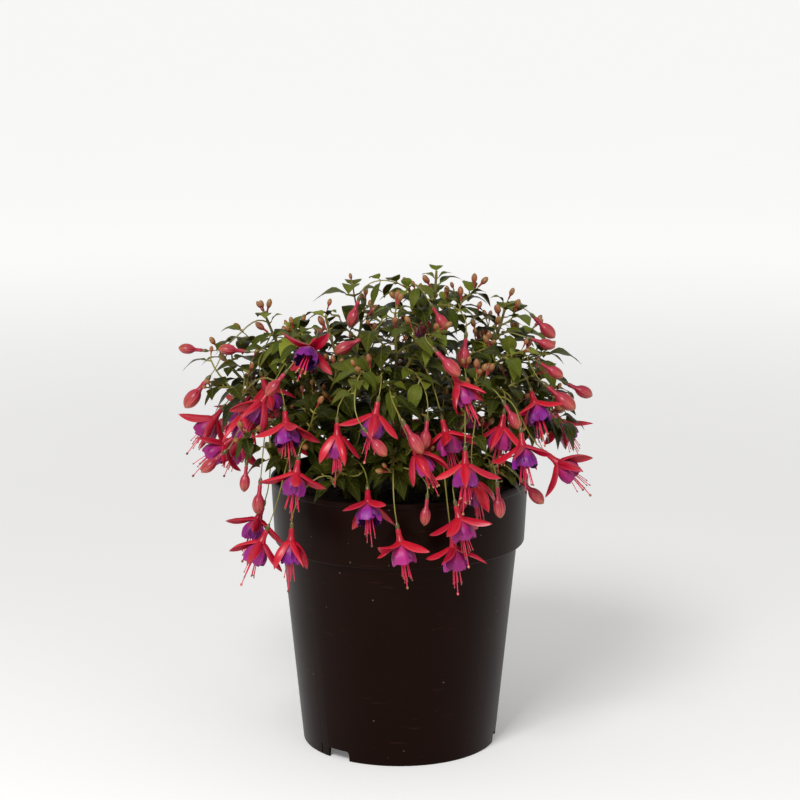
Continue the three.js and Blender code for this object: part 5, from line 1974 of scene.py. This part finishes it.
@dataclass
class PottingMix:
    """The damp mix that fills the pot, with lumps and chips of bark on its surface."""

    radius: float = 89.6
    edge: float = 183
    crown: float = 186.4
    underside: tuple[tuple[float, float], ...] = (
        (0, 2.6), (35.8, 2.6), (36, 10.6), (70.4, 10.6), (84.4, 154.4), (89.2, 155.2), (89.6, 170),
    )
    rings: int = 26
    steps: int = 96
    chips: int = 240
    strewn: float = 87
    finish: Finish = field(default_factory=DampPottingMix)

    def height(self, x: float, y: float) -> float:
        """The height of the crumbly surface.

        Args:
            x: how far right the place is.
            y: how far back it is.

        Returns:
            The height there.
        """
        out = math.hypot(x, y) / 90
        lumps = noise.noise((x / 9, y / 9, 0.5)) * 1.1 + noise.noise((x / 3.4, y / 3.4, 4.5)) * 0.6
        return self.crown - (self.crown - self.edge) * out * out + lumps

    def build(self) -> None:
        """Spins the body of the mix, roughens its top and strews it with chips."""
        skin = Skin()
        mesh = skin.mesh
        top = [(self.radius * (1 - i / self.rings), self.edge) for i in range(self.rings + 1)]
        spin_profile(mesh, [*self.underside, *top], self.steps)
        for vert in mesh.verts:
            if vert.co.z > self.edge - 0.01:
                vert.co.z = self.height(vert.co.x, vert.co.y)
        skin.dress(mesh.verts, Look())
        draw = random_from(SEED + 3)
        for _ in range(self.chips):
            out, turn = self.strewn * math.sqrt(draw()), 2 * math.pi * draw()
            x, y = out * math.cos(turn), out * math.sin(turn)
            chip = bmesh.ops.create_icosphere(mesh, subdivisions=1, radius=1)["verts"]
            size = 1.2 + 2.6 * draw()
            bmesh.ops.scale(mesh, vec=(size, size * (0.4 + 0.4 * draw()), size * 0.3), verts=chip)
            for vert in chip:
                vert.co *= 0.85 + 0.3 * draw()
            spin = Matrix.Rotation(2 * math.pi * draw(), 3, "Z") @ Matrix.Rotation(0.6 * draw(), 3, "X")
            bmesh.ops.rotate(mesh, cent=(0, 0, 0), matrix=spin, verts=chip)
            bmesh.ops.translate(mesh, vec=(x, y, self.height(x, y) + 0.4), verts=chip)
            skin.dress(chip, Look())
        skin.piece("potting_mix", (self.finish,), Slot.SOIL, "potting_soil")


def leaf_surface(leaf: Leaf) -> Surface:
    """The blade of a leaf, from the end of its stalk to its pointed tip.

    Args:
        leaf: the leaf.

    Returns:
        The surface of the blade.
    """
    phase = 6.3 * leaf.tint

    def surface(a: Array, t: Array) -> tuple[Array, Array]:
        """The upper side: folded along its midrib, waved at its edges, arched, and drooping to its tip.

        Args:
            a: -1 at one edge and 1 at the other.
            t: 0 at the base and 1 at the tip.

        Returns:
            The points and the directions outwards.
        """
        share = LEAF.stalk + (1 - LEAF.stalk) * t
        outline = np.clip(np.sin(math.pi * t**0.82), 0, 1) ** (0.62 + 0.42 * t)
        half = leaf.width / 2 * outline
        reach = leaf.length * share
        drop = -leaf.droop * leaf.length * share**2 - LEAF.tip_droop * leaf.length * t**3
        arch = LEAF.arch * leaf.length * np.sin(math.pi * t)
        fold = LEAF.fold * half * np.abs(a) * (1.25 - 0.45 * np.abs(a))
        wave = LEAF.wave * leaf.length * outline * np.sin(9 * t + phase) * a**2 * np.sign(a)
        sway = LEAF.sway * leaf.length * np.sin(phase) * t**2
        points = leaf.root + reach[:, None] * leaf.heading + drop[:, None] * UP
        points = points + (half * a + sway)[:, None] * leaf.across
        return points + (fold + wave + arch)[:, None] * leaf.face, np.tile(leaf.face, (len(a), 1))

    return surface


def bud_profile(size: float) -> Profile:
    """The section of a closed bud: a slim tube, a swelling and a pointed tip.

    Args:
        size: its size, as a share of a large bud's.

    Returns:
        Its points, as reaches along the bud and radii.
    """
    tube, length, radius = FLOWER.bud_tube, FLOWER.bud_length, FLOWER.bud_radius
    slim = [(-0.4, 1.2), (0.8, 1.6), (3.0, 1.45), (tube - 0.8, 1.6)]
    body = (
        (0.03, 0.42), (0.11, 0.6), (0.23, 0.77), (0.37, 0.86), (0.51, 0.88), (0.65, 0.83), (0.78, 0.7),
        (0.88, 0.5), (0.95, 0.29), (1.0, 0.08),
    )
    whole = slim + [(tube + length * place, radius * share) for place, share in body]
    return [(reach * size, r * size) for reach, r in whole]


@dataclass
class LeafyStem:
    """One stem from the soil with its side shoots, leaves, flower stalks and buds."""

    number: int
    plan: Plan
    bark: Finish
    blade: Finish
    bud_skin: Finish
    ovary_skin: Finish
    foot: tuple[float, float] = (176, 3.0)
    slimmer: float = 0.92
    swelling: float = 0.3
    swelling_reach: float = 1.5
    stalk_tip: float = 0.4
    stalked_leaf: float = 6

    def own(self, things: list) -> list:
        """The things of a list that grow on this stem."""
        return [thing for thing in things if thing.stem == self.number]

    def end(self, skin: Skin, kind: str, finishes: tuple[Finish, ...], slot: Slot) -> None:
        """Ends one of the stem's pieces, which all stand for the same solid."""
        skin.piece(f"{kind}_{self.number + 1:02d}", finishes, slot, f"leafy_stem_{self.number + 1:02d}")

    def add_shoot(self, skin: Skin, shoot: Shoot) -> None:
        """A shoot as a smooth tube that swells at each pair of leaves.

        Args:
            skin: the mesh that it goes into.
            shoot: the shoot.
        """
        line = shoot.line
        is_stem = shoot.radius is SHOOT.stem
        shares = set(np.linspace(0, 1, 22 if is_stem else 13))
        swellings = [axil.share for axil in self.plan.axils if axil.shoot is shoot]
        for share in swellings:
            shares |= {share + step / line.length for step in (-2.4, -0.9, 0.9, 2.4)}
        shares = np.array(sorted(s for s in shares if 0 <= s <= 1))
        points = np.array([line.smooth(s) for s in shares])
        radii = np.array([shoot.radius.at(s) for s in shares]) * self.slimmer
        for share in swellings:
            off = (shares - share) * line.length / self.swelling_reach
            radii *= 1 + self.swelling * np.exp(-(off**2))
        if is_stem:
            bottom, radius = self.foot
            points = np.vstack([(*points[0][:2], bottom), points])
            radii = np.append(radius, radii)
        skin.tube(points, radii, 8, Look(age=0.9 if is_stem else 0.45))

    def add_stalk(self, skin: Skin, thing: Hanging) -> None:
        """The stalk of a flower or bud, and its ovary.

        Args:
            skin: the mesh that they go into.
            thing: the flower or bud.
        """
        points = cubic(thing.stalk, 10)
        points[0] = thing.axil.shoot.line.smooth(thing.axil.share)
        foot = min(0.85, 0.5 + 0.008 * max(0, Line(points).length - 30))
        radii = self.stalk_tip + (foot - self.stalk_tip) * (1 - np.linspace(0, 1, 11)) ** 1.2
        skin.tube(points, radii, 6, Look(age=0.35))
        length, radius = FLOWER.ovary_length * thing.size, FLOWER.ovary_radius * thing.size
        swell = (0.3, 0.5, 0.72, 0.8, 0.78, 0.68, 0.6)
        profile = [(-length * (1.02 - i / 6 * 1.05), radius * r) for i, r in enumerate(swell)]
        skin.turned_body(thing.at, thing.hang.down, profile, 10, Look(part=Part.SECOND))

    def add_leaf_stalk(self, skin: Skin, leaf: Leaf) -> None:
        """The short stalk that carries a leaf's blade.

        Args:
            skin: the mesh that it goes into.
            leaf: the leaf.
        """
        shares = np.linspace(0, LEAF.stalk + 0.06, 4)
        drops = -leaf.droop * leaf.length * shares**2
        points = leaf.root + (leaf.length * shares)[:, None] * leaf.heading + drops[:, None] * UP
        radius = 0.024 * leaf.length + 0.12
        skin.tube(points, np.array((1.2, 1, 0.9, 0.5)) * radius, 5, Look(age=0.1))

    def build_wood(self) -> None:
        """Builds the shoots, leaf stalks, flower stalks and ovaries in one piece."""
        skin = Skin()
        plan = self.plan
        for shoot in self.own(plan.shoots):
            self.add_shoot(skin, shoot)
        for twiglet in self.own(plan.twiglets):
            radii = [twiglet.radius.at(share) for share in (0, 0.25, 0.5, 0.75, 1)]
            skin.tube(twiglet.line.points, np.array(radii), 6, Look(age=0.2))
        for thing in self.own(plan.hanging):
            self.add_stalk(skin, thing)
        for leaf in self.own(plan.leaves + plan.small_leaves):
            if leaf.length > self.stalked_leaf:
                self.add_leaf_stalk(skin, leaf)
        for bud in self.own(plan.small_buds):
            way = bud.top - bud.foot
            points = cubic((bud.foot, bud.foot + way * 0.3, bud.foot + way * 0.7, bud.top), 4)
            skin.tube(points, np.full(5, 0.42), 5, Look(age=0.1))
        self.end(skin, "stems", (self.bark, self.ovary_skin), Slot.FOLIAGE)

    def build_leaves(self) -> None:
        """Builds every leaf of the stem in one piece."""
        skin = Skin()
        for leaf in self.own(self.plan.leaves + self.plan.small_leaves):
            # Leaves lower in the bush are painted darker: partly older growth, partly painted shade under the
            # upper leaves
            age = max(leaf.age, min(1.0, (YOUNG_AND_UNSHADED_ABOVE - leaf.root[2]) / AGING))
            skin.blade(leaf_surface(leaf), 4, 8, 0.35, Look(age=age, tint=leaf.tint))
        self.end(skin, "leaves", (self.blade,), Slot.FOLIAGE)

    def build_buds(self) -> None:
        """Builds the closed buds of the stem in one piece."""
        skin = Skin()
        for bud in self.own(self.plan.buds):
            look = Look(age=min(0.6, 0.25 + 0.4 * bud.size), tint=tint_of(bud.number))
            skin.turned_body(bud.at, bud.hang.down, bud_profile(bud.size), 20, look, 0.06)
        for number, bud in enumerate(self.plan.small_buds):
            if bud.stem == self.number:
                look = Look(age=bud.age, tint=tint_of(number))
                skin.turned_body(bud.top, bud.heading, bud_profile(bud.size), 8, look, 0.04)
        self.end(skin, "buds", (self.bud_skin,), Slot.SEPAL)


@dataclass
class OpenFlower:
    """One hanging flower: its tube and sepals, its petals, and its stamens and style."""

    flower: Hanging
    age: float
    sepal_skin: Finish
    petal_skin: Finish
    filament: Finish
    separate: int = 8
    rib_steps: int = 12
    sepal_base: float = 2.6
    sepal_turn: tuple[float, float] = (0.42, 0.58)
    petals: int = 4
    petal_base: float = 8.2
    petal_wrap: tuple[float, float] = (36, 32)
    petal_wave: float = 1.15
    stamens: int = 8
    thread_foot: float = 10.5

    def __post_init__(self) -> None:
        """Starts the flower's own row of random numbers."""
        self.draw = random_from(SEED * 100 + self.flower.number)

    def sepal(self, quarter: int, leave: float, end: float) -> Surface:
        """The surface of one sepal.

        Args:
            quarter: which of the four it is.
            leave: the angle at which it leaves the tube, in degrees.
            end: the angle at which it ends.

        Returns:
            Its surface; the outer side is the ridged back.
        """
        steps = self.rib_steps
        hang = self.flower.hang
        ribs, ways = sepal_rib(self.flower.at, hang, quarter, leave, end, steps)
        out = turned(hang.first, hang.second, (quarter * math.pi) / 2)
        across = unit(cross(hang.down, out))
        side = 1 if self.draw() < 0.5 else -1
        twist = side * (0.3 + 0.55 * self.draw())
        curl = 8.5 * self.draw() - 2.6
        reach = 0.86 + 0.18 * self.draw()
        base, widest = self.sepal_base, FLOWER.sepal_width / 2 * (0.88 + 0.22 * self.draw())
        broad, rest = self.sepal_turn

        def surface(a: Array, t: Array) -> tuple[Array, Array]:
            """The back: widest before its middle, twisted, and curled towards its tip.

            Args:
                a: -1 at one edge and 1 at the other.
                t: 0 at the base and 1 at the tip.

            Returns:
                The points and the directions outwards.
            """
            step = t * reach * steps
            i = np.minimum(step.astype(int), steps - 1)
            f = (step - i)[:, None]
            spine = ribs[i] * (1 - f) + ribs[i + 1] * f
            way = ways[i] * (1 - f) + ways[i + 1] * f
            way /= np.linalg.norm(way, axis=1, keepdims=True)
            back = np.cross(across, way)
            turn = (twist * t**0.8)[:, None]
            wide = across * np.cos(turn) + back * np.sin(turn)
            low = base + (widest - base) * np.sin(np.clip(t / broad, 0, 1) * math.pi / 2)
            high = widest * (1 - np.clip((t - broad) / rest, 0, 1) ** 2.1)
            half = np.where(t < broad, low, high)
            ridge = FLOWER.sepal_ridge * (1 - np.abs(a) ** 1.5) * np.minimum(1, 3 * (1 - t)) * 0.9
            lifted = (ridge - 0.42 * half * a**2 - curl * t**2.4)[:, None] * back
            return spine + (half * a)[:, None] * wide + lifted, back

        return surface

    def petal(self, number: int, flare: float, phase: float) -> Surface:
        """The surface of one petal, which wraps past its neighbours.

        Args:
            number: which of them it is.
            flare: how far the hem stands out, in millimetres.
            phase: where its waves start.

        Returns:
            Its surface.
        """
        flower = self.flower
        hang = flower.hang
        middle = math.pi / 4 + number * math.pi / 2
        hem, bell = FLOWER.hem, FLOWER.bell_radius
        reaches = np.array((self.petal_base, 11, FLOWER.shoulder, 18.5, hem, hem + FLOWER.hem_wave))
        radii = np.array((1.7, 3.6, 0.8 * bell, 0.97 * bell, 7.7, 7.1)) * flower.bell
        narrow, more = (math.radians(angle) for angle in self.petal_wrap)

        def surface(a: Array, t: Array) -> tuple[Array, Array]:
            """The outer side: a bell whose hem waves and reaches furthest at the petal's middle.

            Args:
                a: -1 at one edge and 1 at the other.
                t: 0 at the base and 1 at the tip.

            Returns:
                The points and the directions outwards.
            """
            turn = middle + a * (narrow + more * np.minimum(1, 2.2 * t))
            far = hem + FLOWER.hem_wave * (1.2 - 3.2 * a**2)
            reach = self.petal_base + (far - self.petal_base) * t
            radius = np.interp(reach, reaches, radii) + 0.42 * a * np.minimum(1, 2 * t)
            radius = radius + flare * t**3 + self.petal_wave * np.sin(3.3 * math.pi * a + phase) * t**1.5
            out = np.cos(turn)[:, None] * hang.first + np.sin(turn)[:, None] * hang.second
            return flower.at + reach[:, None] * hang.down + radius[:, None] * out, out

        return surface

    def add_thread(self, skin: Skin, turn: float, start: float, end: tuple[float, float], radius: float,
                   tip: Triple) -> None:
        """A stamen or style with its tip.

        Args:
            skin: the mesh that it goes into.
            turn: its turn round the flower, in radians.
            start: its distance from the flower's middle at its foot.
            end: how far down it reaches and its distance from the middle there.
            radius: its own radius.
            tip: its tip's half length, radius and age of colour.
        """
        hang = self.flower.hang
        out = turned(hang.first, hang.second, turn)
        reach, spread = end
        t = np.linspace(0, 1, 8)
        line = self.flower.at + (self.thread_foot + (reach - self.thread_foot) * t)[:, None] * hang.down
        line = line + (start + (spread - start) * t**1.6)[:, None] * out - (1.6 * t**3)[:, None] * UP
        skin.tube(line, np.linspace(radius * 1.15, radius * 0.8, 8), 5, Look(part=Part.SECOND))
        way = unit(line[-1] - line[-2])
        half, wide, age = tip
        profile = [(half * x, wide * math.sqrt(max(1 - x * x, 0.02))) for x in (-1, -0.6, 0, 0.6, 1)]
        skin.turned_body(line[-1] + way * half * 0.7, way, profile, 6, Look(part=Part.SECOND, age=age))

    def build_sepals(self) -> None:
        """Builds the tube, the sepals, the stamens and the style as one piece."""
        flower, draw = self.flower, self.draw
        skin = Skin()
        look = Look(age=1.0, tint=draw())
        neck, mouth, length = FLOWER.tube_neck, FLOWER.tube_radius, FLOWER.tube_length
        profile = [
            (-0.4, neck * 0.95), (0.6, neck * 1.12), (3, neck * 1.12), (5.5, neck * 1.3), (7.6, mouth * 0.9),
            (length, mouth), (length + 0.9, mouth * 0.86),
        ]
        skin.turned_body(flower.at, flower.hang.down, profile, 14, look, 0.03)
        for quarter, (leave, end) in enumerate(sepal_angles(flower)):
            skin.blade(self.sepal(quarter, leave, end), 6, 14, 0.9, Look(age=1.0, tint=draw()))
        ripe = 0.5 if draw() < 0.3 else 0.85
        for k in range(self.stamens):
            end = (FLOWER.stamen_reach - 5.5 * draw() + 1.5, (2.2 + 3.2 * draw()) * flower.bell)
            turn = 2 * math.pi * (k + 0.6 * draw()) / self.stamens
            self.add_thread(skin, turn, 1.6, end, 0.34, (0.8, 0.5, ripe))
        turn, end = 6.3 * draw(), (FLOWER.style_reach - 3 * draw(), 1.6)
        self.add_thread(skin, turn, 0.2, end, 0.42, (1.1, 0.95, 0.25 + 0.75 * draw()))
        label = f"{flower.number + 1:02d}"
        skin.piece(f"sepals_{label}", (self.sepal_skin, self.filament), Slot.SEPAL, f"bloom_{label}")

    def build_petals(self) -> None:
        """Builds the petals as one piece, which a flower of the front has its own solid for."""
        flower, draw = self.flower, self.draw
        skin = Skin()
        flare = 2.4 * (draw() - 0.55) * flower.bell
        for k in range(self.petals):
            look = Look(age=min(1, max(0, self.age + 0.2 * (draw() - 0.5))), tint=draw())
            skin.blade(self.petal(k, flare, 6.3 * draw()), 9, 9, 0.3, look)
        label = f"{flower.number + 1:02d}"
        node = "corolla" if flower.number < self.separate else "bloom"
        skin.piece(f"petals_{label}", (self.petal_skin,), Slot.COROLLA, f"{node}_{label}")


@dataclass(frozen=True)
class SoftBox:
    """A square soft lamp: its place and its side in metres, and its power in watts."""

    name: str
    at: Triple
    side: float
    power: float

    def build(self, aim: Triple) -> None:
        """Puts the lamp up.

        Args:
            aim: where it looks.
        """
        data = bpy.data.lights.new(self.name, "AREA")
        data.size = self.side
        data.energy = self.power
        lamp = new_object(self.name, data)
        lamp.location = self.at
        lamp.rotation_euler = (Vector(aim) - Vector(self.at)).to_track_quat("-Z", "Y").to_euler()


@dataclass
class Studio:
    """The pale floor, the soft lights and the camera."""

    lens: float = 100
    sensor: float = 36
    stand: Triple = (0, -1.6, 0.563)
    pitch: float = 10.86
    shift: float = 0.5 / 800
    floor_reach: float = 100
    aim: Triple = (0, 0, 0.2)
    lamps: tuple[SoftBox, ...] = (
        SoftBox("key_light", (-0.5, -1.3, 1.5), 0.6, 24),
        SoftBox("fill_light", (1.1, -1.3, 1.0), 0.9, 3),
    )
    sky: float = 0.45
    finish: Finish = field(default_factory=OpalAcrylic)

    def build(self) -> None:
        """Lays the floor, puts the lamps up, lights the room and sets the camera."""
        mesh = bmesh.new()
        bmesh.ops.create_grid(mesh, x_segments=8, y_segments=8, size=self.floor_reach)
        floor = object_of(mesh, "studio_floor")
        floor.data.materials.append(self.finish.material)
        for lamp in self.lamps:
            lamp.build(self.aim)
        world = bpy.data.worlds.new("studio")
        world.use_nodes = True
        light = world.node_tree.nodes["Background"].inputs
        light["Color"].default_value = (1, 1, 1, 1)
        light["Strength"].default_value = self.sky
        scene = bpy.context.scene
        scene.world = world
        scene.view_settings.view_transform = "Standard"
        data = bpy.data.cameras.new("camera")
        data.lens = self.lens
        data.sensor_width = self.sensor
        data.shift_x = self.shift
        camera = new_object("camera", data)
        camera.location = self.stand
        camera.rotation_euler = (math.radians(90 - self.pitch), 0, 0)
        scene.camera = camera


def main() -> None:
    """Builds the studio, the pot, the mix and the plant, in that order."""
    logging.basicConfig(level=logging.INFO, format="%(message)s")
    Studio().build()
    NurseryPot().build()
    PottingMix().build()
    plan = Plan()
    log.info("plan: %d flowers, %d buds, %d leaves, %d small leaves, %d small buds", len(plan.flowers),
             len(plan.buds), len(plan.leaves), len(plan.small_leaves), len(plan.small_buds))
    bark, blade, sepal_skin, ovary_skin = GreenStem(), LeafBlade(), SepalSkin(), OvarySkin()
    for number in range(len(STEMS)):
        stem = LeafyStem(number, plan, bark, blade, sepal_skin, ovary_skin)
        stem.build_leaves()
        stem.build_wood()
        stem.build_buds()
    petal_skin, filament = PetalSkin(), Filament()
    for flower in plan.flowers:
        bloom = OpenFlower(flower, PETAL_AGES[flower.number], sepal_skin, petal_skin, filament)
        bloom.build_sepals()
        bloom.build_petals()


if __name__ == "__main__":
    main()
